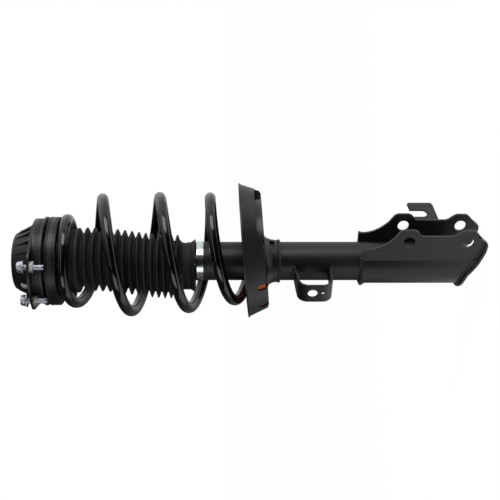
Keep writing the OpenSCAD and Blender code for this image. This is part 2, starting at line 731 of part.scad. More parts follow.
module base_valve() {
    foot_h = bore_d * 0.16;
    port_circle_r = bore_r / 2;
    port_r = bore_d * 0.047;
    spigot_z = valve_seat_z + foot_h;
    color([0.45, 0.45, 0.47]) difference() {
        rotate_extrude() polygon([
            [0, valve_z + foot_h / 2], [tube_in_r - foot_h, valve_z + foot_h / 2],
            [tube_in_r - foot_h / 2, valve_z],
            [tube_in_r - seat_gap, valve_z], [tube_in_r - seat_gap, valve_z + foot_h],
            [bore_r + pressure_wall, valve_seat_z], [bore_r - seat_gap, valve_seat_z],
            [bore_r - seat_gap, spigot_z], [0, spigot_z]]);
        for (a = [0:60:300]) rotate(a) translate([port_circle_r, 0, valve_z - over])
            cylinder(h = spigot_z - valve_z + 2 * over, r = port_r);
    }
}

// ---- Lower spring seat: the dish stands square to its own axis, tilted and set off ----

dish_lean = dish_flare / dish_depth;
dish_skin = dish_wall * norm([1, dish_lean]);
function dish_out(z) = dish_base_r + dish_lean * z;

module in_dish() {
    translate([dish_offset, 0, -dish_base_z]) rotate([0, -dish_tilt, 0]) children();
}

// Half section of the dish, floor and flared wall with a turned rim
dish_section = [
    [0, 0], [dish_base_r - 3, 0], [dish_out(2), 2], [dish_rim_r, dish_depth],
    [dish_rim_r + 1.6, dish_depth + 0.4], [dish_rim_r + 1.4, dish_depth + 2.4],
    [dish_rim_r - 1.6, dish_depth + 1.4], [dish_out(dish_depth - 1) - dish_skin, dish_depth - 1],
    [dish_out(dish_wall + 1) - dish_skin, dish_wall + 1], [dish_out(dish_wall) - dish_skin - 1, dish_wall],
    [0, dish_wall]];

// The part of a ring under the last coil that lies below the ramp's faces, raised by lift. It
// slopes up from nothing at the first edge of the sector, and stays level from there on.
module ramp_block(in_r, skin_in, low, lift, margin) {
    high = dish_ramp + lift;
    intersection() {
        rotate(ramp_from - margin) rotate_extrude(angle = ramp_to - ramp_from + 2 * margin)
            polygon([[in_r, low], [dish_out(low) - skin_in, low], [dish_out(high) - skin_in, high],
                [in_r, high]]);
        rotate(ramp_from) rotate([ramp_tilt, 0, 0])
            translate([-2 * dish_rim_r, -2 * dish_rim_r, -2 * dish_rim_r])
                cube([4 * dish_rim_r, 4 * dish_rim_r, 2 * dish_rim_r + lift]);
    }
}

module slot_cut(w, h, depth) {
    rotate([90, 0, 90]) linear_extrude(depth) union() {
        translate([-w / 2, 0]) square([w, h - w / 2]);
        translate([0, h - w / 2]) circle(w / 2);
    }
}

module lower_spring_seat() {
    slot_h = 14;
    bead = 1.2;
    neck_len = 11;
    collar_end = -dish_base_z - 3.5 - collar_len;
    vent_h = 6.4;
    vent_w = 14;
    vent_angle = -8;
    color([0.1, 0.1, 0.11]) difference() {
        union() {
            in_dish() {
                rotate_extrude() polygon(dish_section);
                ramp_block(ramp_r, dish_skin / 2, dish_wall / 2, dish_wall, 2);
                translate([-dish_offset, 0, 0]) rotate_extrude() polygon([
                    [tube_r - 2, 1], [collar_r + 8, 1], [collar_r + 6, -0.3], [collar_r + 3.4, -1.6],
                    [collar_r + 2, -3.6], [collar_r - 1.4, -neck_len], [tube_r - 2, -neck_len]]);
            }
            rotate_extrude() polygon([
                [tube_r - 2, -dish_base_z + 1], [collar_r + 0.2, -dish_base_z + 1],
                [collar_r + 0.2, -dish_base_z - 9], [tube_r + 2.2, collar_end],
                [tube_r + 1.2, collar_end - bead], [tube_r - 2, collar_end - bead]]);
        }
        translate([0, 0, -dish_base_z - 60]) cylinder(h = 100, r = tube_r + seat_gap);
        in_dish() {
            ramp_block(ramp_r + dish_wall, -dish_rim_r, -over, 0, 0);
            for (a = [-126, -98, 98, 126]) rotate(a) translate([dish_base_r - 8, 0, -over])
                slot_cut(drain_w, slot_h, 20);
        }
        rotate(vent_angle) translate([tube_r - 1, -vent_w / 2, -dish_base_z - 12])
            cube([vent_w, vent_w, vent_h]);
    }
}

module lower_spring_pad() {
    lip_h = 13.5;
    lip_t = 2;
    fit = 0.15;
    floor_z = dish_wall + fit / 2;
    in_r = spring_low_r - 15;
    out_r = ramp_r - 4 * fit;
    wall_r = dish_base_r - dish_skin - fit;
    color([0.85, 0.3, 0.06]) in_dish() {
        ring(in_r, out_r, floor_z, floor_z + pad_t);
        rotate(ramp_to + 3) rotate_extrude(angle = 354 - ramp_to + ramp_from) polygon([
            [out_r - over, floor_z], [wall_r + dish_lean * floor_z - 1.2, floor_z],
            [wall_r + dish_lean * (floor_z + 1.2), floor_z + 1.2],
            [wall_r + dish_lean * (floor_z + lip_h), floor_z + lip_h],
            [wall_r + dish_lean * (floor_z + lip_h) - lip_t, floor_z + lip_h],
            [wall_r + dish_lean * (floor_z + pad_t) - lip_t, floor_z + pad_t],
            [out_r - over, floor_z + pad_t]]);
    }
}

// ---- Knuckle bracket: one sheet wrapped round the tube and drawn out into two flat plates ----

// The wrap and plates seen along the tube, filled in, with the sheet's face moved out by h
module bracket_fill(r, half_gap, h) {
    circle(r + h);
    translate([0, -half_gap - h]) square([ear_x + 10, 2 * (half_gap + h)]);
}

module bracket_section(h) {
    difference() {
        bracket_fill(bracket_out_r, ear_out_y, h);
        bracket_fill(bracket_in_r, ear_in_y, 0);
    }
}

// The bracket's lower end seen from the side, x out from the tube and z along it
bracket_foot = [[46.7, -bracket_end + 6.9], [41.5, -bracket_end + 0.6], [38, -bracket_end],
    [30, -bracket_end + 0.9], [24.5, -bracket_end + 2.6], [15.6, -bracket_end + 6.5],
    [4.9, -bracket_end + 15], [-3.6, -bracket_end + 21.5], [-12, -bracket_end + 24],
    [-22, -bracket_end + 25.5], [-bracket_out_r - 8, -bracket_end + 26.5]];

// The whole outline from the side: a concave edge up to each ear, and flat between them
bracket_outline =
    let (hz = knuckle_hole_z, lz = hole_low_z)
    [[-bracket_out_r - 8, -bracket_top], [30.4, -bracket_top], [30.7, -bracket_top - 9],
        [32.1, -hz + 42.4], [33.8, -hz + 37.6], [37.2, -hz + 31], [41.6, -hz + 25],
        [46.6, -hz + 19.6], [52.2, -hz + 15.6], [56, -hz + 12.6], [ear_x - 0.8, -hz + 10.2],
        [ear_x, -hz + 7.4], [ear_x, -hz - 5.6], [ear_x - 0.9, -hz - 8.6],
        [ear_x - 3, -hz - 11.4], [51.4, -hz - 14.7], [49.7, -hz - 17.4],
        [49.7, -lz + 19.6], [51.2, -lz + 16.4], [54.4, -lz + 12.2], [ear_x - 1.6, -lz + 8.4],
        [ear_x - 0.6, -lz + 5.4], [ear_x - 0.6, -lz - 5.4], [ear_x - 1.8, -lz - 8.6],
        [53.2, -lz - 12.1], each bracket_foot];

// A strip along the lower end: the part of the outline within w of it
module foot_strip(w) {
    polygon([each bracket_foot,
        for (i = [len(bracket_foot) - 1:-1:0]) bracket_foot[i] + w * [0.33, 0.94]]);
}

module seen_along(h) {
    translate([0, 0, -bracket_end - over]) linear_extrude(bracket_end - bracket_top + 2 * over)
        bracket_section(h);
}

module seen_aside() {
    translate([0, 50, 0]) rotate([90, 0, 0]) linear_extrude(100) children();
}

module knuckle_bracket() {
    lip_h = 3;
    foot_lip_h = 4.4;
    lip_x = 30.4;
    color([0.08, 0.08, 0.09]) difference() {
        union() {
            intersection() {
                seen_along(0);
                seen_aside() polygon(bracket_outline);
            }
            intersection() {
                seen_along(foot_lip_h * 0.3);
                seen_aside() foot_strip(bracket_t * 1.9);
            }
            intersection() {
                seen_along(foot_lip_h);
                seen_aside() foot_strip(bracket_t);
            }
            intersection() {
                seen_along(lip_h);
                seen_aside() translate([-bracket_out_r - 8, -bracket_top - 2.4])
                    square([bracket_out_r + 8 + lip_x, 2.4]);
            }
            intersection() {
                seen_along(lip_h * 0.4);
                seen_aside() translate([-bracket_out_r - 8, -bracket_top - 5])
                    square([bracket_out_r + 8 + lip_x, 5]);
            }
        }
        for (z = [knuckle_hole_z, hole_low_z]) translate([knuckle_hole_x, 50, -z]) rotate([90, 0, 0])
            cylinder(h = 100, d = knuckle_hole_d);
    }
}

// ---- Hose bracket: a U of sheet, its two legs welded to the tube ----

module hose_bracket() {
    main_z = -hose_top - 21.4;
    pin_z = main_z - 13.1;
    low = -hose_top - hose_h;
    bend_r = 13;
    drop = 2.5;
    root_w = hose_w * 0.68;
    t = hose_t;
    high_c = [hose_x - bend_r, -hose_top - drop - bend_r];
    low_c = [hose_x - bend_r, low + bend_r];
    color([0.08, 0.08, 0.09]) rotate(hose_angle) difference() {
        intersection() {
            translate([0, hose_w / 2, 0]) rotate([90, 0, 0]) linear_extrude(hose_w) polygon([
                [10, -hose_top], [tube_r + 4, -hose_top], each arc(high_c, bend_r, 90, 0, 6),
                each arc(low_c, bend_r, 0, -90, 6), [10, low], [10, low + t],
                each arc(low_c, bend_r - t, -90, 0, 6), each arc(high_c, bend_r - t, 0, 90, 6),
                [tube_r + 4, -hose_top - t], [10, -hose_top - t]]);
            translate([0, 0, low - over]) linear_extrude(hose_h + 2 * over) polygon([
                [8, -root_w / 2], [tube_r - 1, -root_w / 2], [tube_r + 20, -hose_w / 2],
                [hose_x + over, -hose_w / 2], [hose_x + over, hose_w / 2],
                [tube_r + 20, hose_w / 2], [tube_r - 1, root_w / 2], [8, root_w / 2]]);
        }
        translate([0, 0, low - over]) cylinder(h = hose_h + 2 * over, r = tube_r + seat_gap);
        translate([hose_x - t - over, 0, main_z]) rotate([0, 90, 0])
            cylinder(h = t + 2 * over, d = hose_hole_d);
        translate([hose_x - t - over, 0, pin_z]) rotate([0, 90, 0])
            cylinder(h = t + 2 * over, d = hose_pin_d);
    }
}

// ---- Wire bracket: a tab bent out from the far plate, with a slot open at the top ----

module wire_bracket() {
    low = -knuckle_hole_z - 47.6;
    foot_h = 30;
    foot_w = 12;
    bend = 72;
    edge_x = 47.2;
    slot_at = 12.65;
    slot_end = 20.4;
    tab_h = 38.5;
    out_y = ear_out_y + seat_gap;
    color([0.08, 0.08, 0.09]) difference() {
        union() {
            translate([edge_x - foot_w, out_y, low]) cube([foot_w, wire_t, foot_h]);
            translate([edge_x - wire_t * 0.2, out_y + wire_t * 0.5, low]) rotate(bend)
                translate([0, wire_t / 2, 0]) rotate([90, 0, 0]) linear_extrude(wire_t) polygon([
                    [-wire_t * 0.3, 0], [wire_reach - 4, 4.3], [wire_reach, 7],
                    [wire_reach, tab_h - 2.5], [wire_reach - 2, tab_h], [slot_at + 6, tab_h - 2.2],
                    [slot_at - 6, tab_h - 5.2], [0, tab_h - 6.2], [-wire_t * 0.3, tab_h - 6.2]]);
        }
        translate([edge_x, out_y + wire_t * 0.5, low]) rotate(bend)
            translate([slot_at, 2 * wire_t, slot_end]) rotate([90, 0, 0]) {
                cylinder(h = 4 * wire_t, d = wire_slot_d);
                translate([-wire_slot_d / 2, 0, 0]) cube([wire_slot_d, tab_h, 4 * wire_t]);
            }
    }
}

mount_plate();
mount_cup();
cup_plugs();
mount_rubber();
mount_sleeve();
mount_housing();
mount_bolts();
weld_nuts();
rod_nut();
rod_washer();
bearing_upper_race();
bump_stop_cup();
bump_stop();
piston_rod();
rebound_stop();
piston();
piston_band();
piston_nut();
ball_cage();
bearing_balls();
bearing_lower_race();
upper_spring_seat();
upper_isolator();
coil_spring();
dust_boot();
damper_tube();
gland_cap();
rod_seal();
rod_guide();
pressure_tube();
base_valve();
lower_spring_seat();
lower_spring_pad();
knuckle_bracket();
hose_bracket();
wire_bracket();
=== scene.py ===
"""Suspension strut: finishes, wound and soft pieces, small hardware and a plain studio."""

import json
import math

import bmesh
import bpy
import numpy as np
from mathutils import Matrix, Vector


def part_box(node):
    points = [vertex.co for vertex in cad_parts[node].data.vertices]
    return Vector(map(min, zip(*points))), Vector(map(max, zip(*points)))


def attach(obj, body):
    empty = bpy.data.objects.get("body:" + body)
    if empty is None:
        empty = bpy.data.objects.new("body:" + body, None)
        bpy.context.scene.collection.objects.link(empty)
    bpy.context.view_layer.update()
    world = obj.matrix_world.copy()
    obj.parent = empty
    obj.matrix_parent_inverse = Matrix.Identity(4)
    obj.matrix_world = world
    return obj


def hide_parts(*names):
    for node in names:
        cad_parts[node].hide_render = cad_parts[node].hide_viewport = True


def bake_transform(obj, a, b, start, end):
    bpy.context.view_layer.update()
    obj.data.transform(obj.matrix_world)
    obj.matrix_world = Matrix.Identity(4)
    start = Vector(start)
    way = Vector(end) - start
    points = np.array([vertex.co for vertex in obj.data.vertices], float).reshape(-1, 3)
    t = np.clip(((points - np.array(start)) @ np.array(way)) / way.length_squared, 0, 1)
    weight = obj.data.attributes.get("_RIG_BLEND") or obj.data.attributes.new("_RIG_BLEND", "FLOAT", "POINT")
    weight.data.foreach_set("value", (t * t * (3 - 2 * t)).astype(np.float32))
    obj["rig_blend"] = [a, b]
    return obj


bl_info = {
    "name": "Suspension Strut",
    "version": (1, 0, 0),
    "blender": (4, 5, 0),
    "location": "View3D > Sidebar > Strut",
    "description": "Dresses a suspension strut: coil spring, bellows, hardware, finishes and studio",
    "category": "Object",
}

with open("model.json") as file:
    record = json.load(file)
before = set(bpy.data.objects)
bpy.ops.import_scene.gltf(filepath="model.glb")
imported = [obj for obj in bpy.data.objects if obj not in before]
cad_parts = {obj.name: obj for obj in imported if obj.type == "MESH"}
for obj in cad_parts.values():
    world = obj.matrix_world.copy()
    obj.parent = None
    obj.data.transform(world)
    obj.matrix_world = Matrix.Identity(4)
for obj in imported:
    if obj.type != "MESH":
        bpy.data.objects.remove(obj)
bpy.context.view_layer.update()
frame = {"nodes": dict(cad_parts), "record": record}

MM = 0.001
TAU = 2 * math.pi
PLATE, SEAT, TUBE = "top_mount", "upper_seat", "strut_tube"
DEFORM = "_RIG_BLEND"


# ---------------------------------------------------------------- sizes taken from the frame


def lowest(node):
    """The height of a node's lowest point, in metres."""
    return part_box(node)[0].z


def body_of(node):
    """The body that a node moves with."""
    bodies = frame["record"]["behaviour"]["bodies"]
    return next(body for body, nodes in bodies.items() if node in nodes)


# ---------------------------------------------------------------- shader expressions


def add_node(tree, kind, settings=None, inputs=None):
    """Adds a node: its settings first, then the values or links of its sockets."""
    made = tree.nodes.new(kind)
    for key, value in (settings or {}).items():
        setattr(made, key, value)
    for key, value in (inputs or {}).items():
        if isinstance(value, bpy.types.NodeSocket):
            tree.links.new(value, made.inputs[key])
        else:
            made.inputs[key].default_value = value
    return made


class Value:
    """A number socket used in plain arithmetic: each operation adds its Math node."""

    def __init__(self, ink, socket):
        self.ink, self.socket = ink, socket

    def other(self, name):
        """Another output of the node that this value comes from."""
        return Value(self.ink, self.socket.node.outputs[name])

    def math(self, operation, *terms, clamp=False):
        """The result of a Math node on these terms."""
        settings = {"operation": operation, "use_clamp": clamp}
        return self.ink.node("ShaderNodeMath", settings, dict(enumerate(terms)))

    def __add__(self, term):
        return self.math("ADD", self, term)

    def __sub__(self, term):
        return self.math("SUBTRACT", self, term)

    def __rsub__(self, term):
        return self.math("SUBTRACT", term, self)

    def __mul__(self, term):
        return self.math("MULTIPLY", self, term)

    __radd__ = __add__
    __rmul__ = __mul__

    def clamp(self):
        """This value kept between 0 and 1."""
        return self.math("ADD", self, 0.0, clamp=True)

    def above(self, edge, soft):
        """0 below edge and 1 above it, over a soft band."""
        return self.math("DIVIDE", self - (edge - soft / 2), soft, clamp=True)


class Ink:
    """The node tree of a material or of the world, built from values and expressions."""

    def __init__(self, name, kind="materials"):
        self.data = getattr(bpy.data, kind).new(name)
        self.data.use_nodes = True
        self.tree = self.data.node_tree
        self.tree.nodes.clear()

    def node(self, kind, settings=None, inputs=None, out=0):
        """Adds a node and gives one of its outputs as a value."""
        plain = {}
        for key, value in (inputs or {}).items():
            plain[key] = value.socket if isinstance(value, Value) else value
        return Value(self, add_node(self.tree, kind, settings, plain).outputs[out])

    def place(self):
        """Where a point lies on the piece, in metres."""
        return self.node("ShaderNodeTexCoord", out="Object")

    def stretch(self, where, scale):
        """Coordinates scaled apart along X, Y and Z."""
        inputs = {"Vector": where, "Scale": scale}
        return self.node("ShaderNodeMapping", {"vector_type": "POINT"}, inputs)

    def noise(self, where, scale, detail=3.0, rough=0.5):
        """Cloudy noise from 0 to 1."""
        inputs = {"Vector": where, "Scale": scale, "Detail": detail, "Roughness": rough}
        return self.node("ShaderNodeTexNoise", {"noise_dimensions": "3D"}, inputs, out="Fac")

    def cells(self, where, scale, feature="F1"):
        """Distance from the middle of the nearest cell, or from its edge."""
        inputs = {"Vector": where, "Scale": scale}
        return self.node("ShaderNodeTexVoronoi", {"feature": feature}, inputs, out="Distance")

    def attribute(self, name):
        """A number that is stored at each point of the piece."""
        return self.node("ShaderNodeAttribute", {"attribute_name": name}, out="Fac")

    def blend(self, mask, a, b):
        """Colour a where the mask is 0, and colour b where it is 1."""
        a, b = (colour if isinstance(colour, Value) else (*colour, 1) for colour in (a, b))
        settings = {"data_type": "RGBA", "clamp_factor": True}
        return self.node("ShaderNodeMix", settings, {0: mask, 6: a, 7: b}, out=2)

    def along(self, where, direction):
        """How far a point lies from the origin in a direction."""
        inputs = {0: where, 1: direction}
        return self.node("ShaderNodeVectorMath", {"operation": "DOT_PRODUCT"}, inputs, out="Value")

    def ramp(self, value, start, end, low, high):
        """A soft step from low at start to high at end."""
        inputs = {"Value": value, "From Min": start, "From Max": end, "To Min": low, "To Max": high}
        return self.node("ShaderNodeMapRange", {"interpolation_type": "SMOOTHSTEP"}, inputs, out="Result")

    def rays(self):
        """1 for a ray from the camera, then 1 for one that is seen, also by reflection or through glass."""
        camera = self.node("ShaderNodeLightPath", out="Is Camera Ray")
        return camera, camera + camera.other("Is Glossy Ray") + camera.other("Is Transmission Ray")

    def bump(self, height, strength, distance):
        """A normal turned by the slope of the height."""
        inputs = {"Height": height, "Strength": strength, "Distance": distance}
        return self.node("ShaderNodeBump", None, inputs)

    def surface(self, **sockets):
        """The Principled shader and the material's output. Plain numbers are set on the sockets."""
        inputs = {key.replace("_", " ").title(): value for key, value in sockets.items()}
        return self.show(self.node("ShaderNodeBsdfPrincipled", None, inputs))

    def show(self, shader, output="ShaderNodeOutputMaterial"):
        """Ends the tree with this shader, and gives the finished material or world."""
        add_node(self.tree, output, None, {"Surface": shader.socket})
        return self.data


def tint(colour, factor):
    """A colour made lighter or darker."""
    return tuple(min(1.0, channel * factor) for channel in colour)


# ---------------------------------------------------------------- finishes


def electrocoat(name, colour, rough=0.36, peel=0.12):
    """Satin black primer baked on pressed steel: faint orange peel, dust and broad unevenness."""
    ink = Ink(name)
    where = ink.place()
    broad = ink.noise(where, 14, 4, 0.55)
    fine = ink.noise(where, 620, 2, 0.5)
    dust = ink.noise(where, 2300, 1, 0.6).above(0.71, 0.05)
    base = ink.blend(broad, tint(colour, 0.75), tint(colour, 1.3))
    base = ink.blend(dust * 0.35, base, tint(colour, 4.0))
    roughness = rough + broad * 0.12 - 0.06 + fine * 0.05
    normal = ink.bump(fine + ink.noise(where, 180, 2, 0.5) * 1.5, peel, 0.0004)
    return ink.surface(base_color=base, roughness=roughness, normal=normal)


def powder_coat(name, colour):
    """Glossy black powder coat on the spring wire, with its soft orange peel."""
    ink = Ink(name)
    where = ink.place()
    peel = ink.noise(where, 260, 2, 0.45)
    haze = ink.noise(where, 22, 3, 0.5)
    speck = ink.noise(where, 1500, 1, 0.5).above(0.74, 0.04)
    base = ink.blend(haze, tint(colour, 0.8), tint(colour, 1.3))
    base = ink.blend(speck * 0.3, base, tint(colour, 5.0))
    normal = ink.bump(peel, 0.08, 0.0005)
    return ink.surface(
        base_color=base, roughness=haze * 0.06 + 0.12, coat_weight=0.15, coat_roughness=0.03, normal=normal
    )


def bellows_rubber(name, colour):
    """Matte moulded elastomer, lighter and smoother along the crests of its ribs."""
    ink = Ink(name)
    where = ink.place()
    crest = ink.attribute("crest")
    cloud = ink.noise(where, 38, 4, 0.6)
    grain = ink.noise(where, 1700, 2, 0.6)
    # the crests of the ribs are made lighter in colour and smoother, varied by the cloud
    lighter_crest = (crest * (cloud * 0.8 + 0.35)).clamp()
    base = ink.blend(lighter_crest, tint(colour, 0.8), tint(colour, 3.6))
    base = ink.blend(cloud.above(0.62, 0.25) * 0.25, base, tint(colour, 2.2))
    normal = ink.bump(grain, 0.16, 0.0003)
    return ink.surface(base_color=base, roughness=0.66 - lighter_crest * 0.14 + grain * 0.06, normal=normal)


def moulded(name, colour, rough=0.45, grain_size=1300):
    """Moulded polymer or rubber: a fine even grain and slight mottling."""
    ink = Ink(name)
    where = ink.place()
    cloud = ink.noise(where, 30, 3, 0.55)
    grain = ink.noise(where, grain_size, 2, 0.6)
    base = ink.blend(cloud, tint(colour, 0.82), tint(colour, 1.25))
    normal = ink.bump(grain, 0.2, 0.0003)
    return ink.surface(base_color=base, roughness=rough + grain * 0.08 - 0.04, normal=normal)


def zinc_plate(name, colour, rough=0.3):
    """Zinc plate: crystalline clouding, fine drawing lines and small handling marks."""
    ink = Ink(name)
    where = ink.place()
    cloud = ink.noise(where, 160, 4, 0.6)
    lines = ink.noise(ink.stretch(where, (1.0, 1.0, 0.12)), 2600, 2, 0.6)
    marks = ink.cells(where, 520, "DISTANCE_TO_EDGE")
    base = ink.blend(cloud, tint(colour, 0.78), tint(colour, 1.12))
    roughness = rough + cloud * 0.16 - 0.08 + lines * 0.06
    normal = ink.bump(lines + marks * 0.6, 0.12, 0.0002)
    return ink.surface(base_color=base, metallic=1.0, roughness=roughness, normal=normal)


def turned_steel(name, colour, rough=0.34):
    """Bare steel turned on a lathe: fine rings round the axis."""
    ink = Ink(name)
    where = ink.place()
    rings = ink.noise(ink.stretch(where, (0.05, 0.05, 1.0)), 2400, 2, 0.5)
    cloud = ink.noise(where, 90, 3, 0.5)
    base = ink.blend(cloud, tint(colour, 0.85), tint(colour, 1.1))
    normal = ink.bump(rings, 0.1, 0.0002)
    return ink.surface(base_color=base, metallic=1.0, roughness=rough + rings * 0.1, normal=normal)


def foam(name, colour):
    """Microcellular foam: small open cells in a pale skin."""
    ink = Ink(name)
    where = ink.place()
    cells = ink.cells(where, 900)
    cloud = ink.noise(where, 45, 3, 0.5)
    base = ink.blend(cloud, tint(colour, 0.8), tint(colour, 1.1))
    base = ink.blend(cells.above(0.55, 0.2) * 0.4, base, tint(colour, 0.5))
    return ink.surface(base_color=base, roughness=0.8 - cloud * 0.1, normal=ink.bump(cells, 0.3, 0.0004))


def weld_metal(name, colour):
    """Painted weld: the same satin black over rippled, spattered metal."""
    ink = Ink(name)
    where = ink.place()
    spatter = ink.noise(where, 420, 4, 0.7)
    base = ink.blend(spatter.above(0.6, 0.15), tint(colour, 0.6), tint(colour, 6))
    normal = ink.bump(spatter, 0.4, 0.0006)
    return ink.surface(base_color=base, roughness=spatter * 0.2 + 0.32, normal=normal)


_made = {}


def finish(name):
    """The named finish, made once."""
    if name not in _made:
        looks = bpy.context.scene.strut_looks
        paint, spring, rubber = tuple(looks.paint), tuple(looks.spring), tuple(looks.rubber)
        makers = {
            "black_paint": lambda: electrocoat("satin_electrocoat", tint(paint, 1.2), rough=0.36),
            "tube_paint": lambda: electrocoat("tube_paint", tint(paint, 0.8), rough=0.42, peel=0.04),
            "cup_paint": lambda: electrocoat("mount_electrocoat", paint, rough=0.36),
            "spring_paint": lambda: powder_coat("spring_powder_coat", spring),
            "black_plastic": lambda: moulded("seat_plastic", tint(rubber, 1.2), rough=0.38),
            "black_rubber": lambda: moulded("mount_rubber", rubber, rough=0.6),
            "boot_rubber": lambda: bellows_rubber("bellows_rubber", rubber),
            "orange_rubber": lambda: moulded("pad_rubber", tuple(looks.pad), rough=0.5),
            "bump_foam": lambda: foam("bump_foam", (0.72, 0.6, 0.34)),
            "bright_zinc": lambda: zinc_plate("bright_zinc", tuple(looks.zinc)),
            "yellow_zinc": lambda: zinc_plate("nut_zinc", (0.8, 0.79, 0.75), rough=0.4),
            "cap_zinc": lambda: zinc_plate("cap_zinc", (0.72, 0.8, 0.8), rough=0.2),
            "steel": lambda: turned_steel("turned_steel", (0.5, 0.5, 0.52)),
            "hard_chrome": lambda: turned_steel("hard_chrome", (0.72, 0.73, 0.75), rough=0.08),
            "sintered_iron": lambda: moulded("sintered_iron", (0.16, 0.16, 0.165), rough=0.55),
            "band_polymer": lambda: moulded("band_polymer", (0.62, 0.56, 0.4), rough=0.42),
            "pale_plug": lambda: moulded("pale_plug", (0.95, 0.92, 0.85), rough=0.5, grain_size=700),
            "weld": lambda: weld_metal("painted_weld", tint(paint, 2.5)),
        }
        _made[name] = makers[name]()
    return _made[name]


# ---------------------------------------------------------------- mesh tools


def put(name, data):
    """A new object at the origin, in the scene."""
    placed = bpy.data.objects.new(name, data)
    bpy.context.scene.collection.objects.link(placed)
    return placed


def to_piece(name, mesh, material, smooth=True):
    """A new object at the origin that shows this mesh in one finish."""
    mesh.materials.clear()
    mesh.materials.append(material)
    if smooth:
        mesh.shade_smooth()
    return put(name, mesh)


def corners_of(piece):
    """Every vertex of a piece, as rows of x, y and z."""
    return np.array([tuple(v.co) for v in piece.data.vertices])


def sharpen(piece, angle):
    """Shades a piece smooth but for edges sharper than the angle."""
    mesh = piece.data
    mesh.shade_smooth()
    mesh.set_sharp_from_angle(angle=math.radians(angle))


def from_rings(name, rings, loop=False):
    """A closed mesh whose rings of points are joined in order. A loop joins the last to the first."""
    count, sides = len(rings), len(rings[0])
    corners = np.concatenate([np.asarray(ring, float) for ring in rings])
    faces = []
    for i in range(count if loop else count - 1):
        k = (i + 1) % count
        for j in range(sides):
            n = (j + 1) % sides
            faces.append((i * sides + j, i * sides + n, k * sides + n, k * sides + j))
    if not loop:
        faces.append(tuple(range(sides - 1, -1, -1)))
        faces.append(tuple((count - 1) * sides + j for j in range(sides)))
    mesh = bpy.data.meshes.new(name)
    mesh.from_pydata([tuple(c) for c in corners], [], faces)
    mesh.validate()
    face_out(mesh)
    return mesh


def face_out(mesh):
    """Turns every face of a closed mesh outwards."""
    work = bmesh.new()
    work.from_mesh(mesh)
    bmesh.ops.recalc_face_normals(work, faces=work.faces)
    work.to_mesh(mesh)
    work.free()


def circle(centre, r, z, sides):
    """A level ring of points round centre (x, y)."""
    x, y = centre
    turn = np.arange(sides) * TAU / sides
    return np.stack([x + r * np.cos(turn), y + r * np.sin(turn), np.full(sides, z)], 1)


def circle_point(r, angle):
    """(x, y) at an angle in degrees on a circle round the axis."""
    return r * math.cos(math.radians(angle)), r * math.sin(math.radians(angle))


def lathe(name, profile, sides):
    """A closed solid of revolution about the Z axis. profile is a loop of (radius, z)."""
    return from_rings(name, [circle((0, 0), r, z, sides) for r, z in profile], loop=True)


def arc_points(centre, r, start, end, steps):
    """Points on an arc in a plane, angles in degrees."""
    points = [circle_point(r, angle) for angle in np.linspace(start, end, steps + 1)]
    return [(centre[0] + x, centre[1] + y) for x, y in points]


def join_meshes(name, meshes):
    """One mesh made of several."""
    work = bmesh.new()
    for mesh in meshes:
        work.from_mesh(mesh)
    joined = bpy.data.meshes.new(name)
    work.to_mesh(joined)
    work.free()
    return joined


FLAT_ANGLE, SHARP_ANGLE = math.radians(0.6), math.radians(32)
SAME_POINT = 0.002 * MM


def soften(node, width, material):
    """A copy of a CAD node with its pressed edges rounded, which stands for the node."""
    work = bmesh.new()
    work.from_mesh(frame["nodes"][node].data)
    bmesh.ops.remove_doubles(work, verts=work.verts, dist=SAME_POINT)
    bmesh.ops.dissolve_limit(
        work, angle_limit=FLAT_ANGLE, verts=work.verts, edges=work.edges, delimit={"NORMAL"}
    )
    mesh = bpy.data.meshes.new("pressed_" + node)
    work.to_mesh(mesh)
    work.free()
    piece = to_piece(mesh.name, mesh, material)
    bevel = piece.modifiers.new("Edges", "BEVEL")
    bevel.limit_method = "ANGLE"
    bevel.angle_limit = SHARP_ANGLE
    bevel.width = width
    bevel.segments = 3
    bevel.use_clamp_overlap = True
    bevel.miter_outer = "MITER_ARC"
    shade = piece.modifiers.new("Shading", "WEIGHTED_NORMAL")
    shade.keep_sharp = True
    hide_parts(node)
    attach(piece, body_of(node))
    return piece


# ---------------------------------------------------------------- geometry node trees


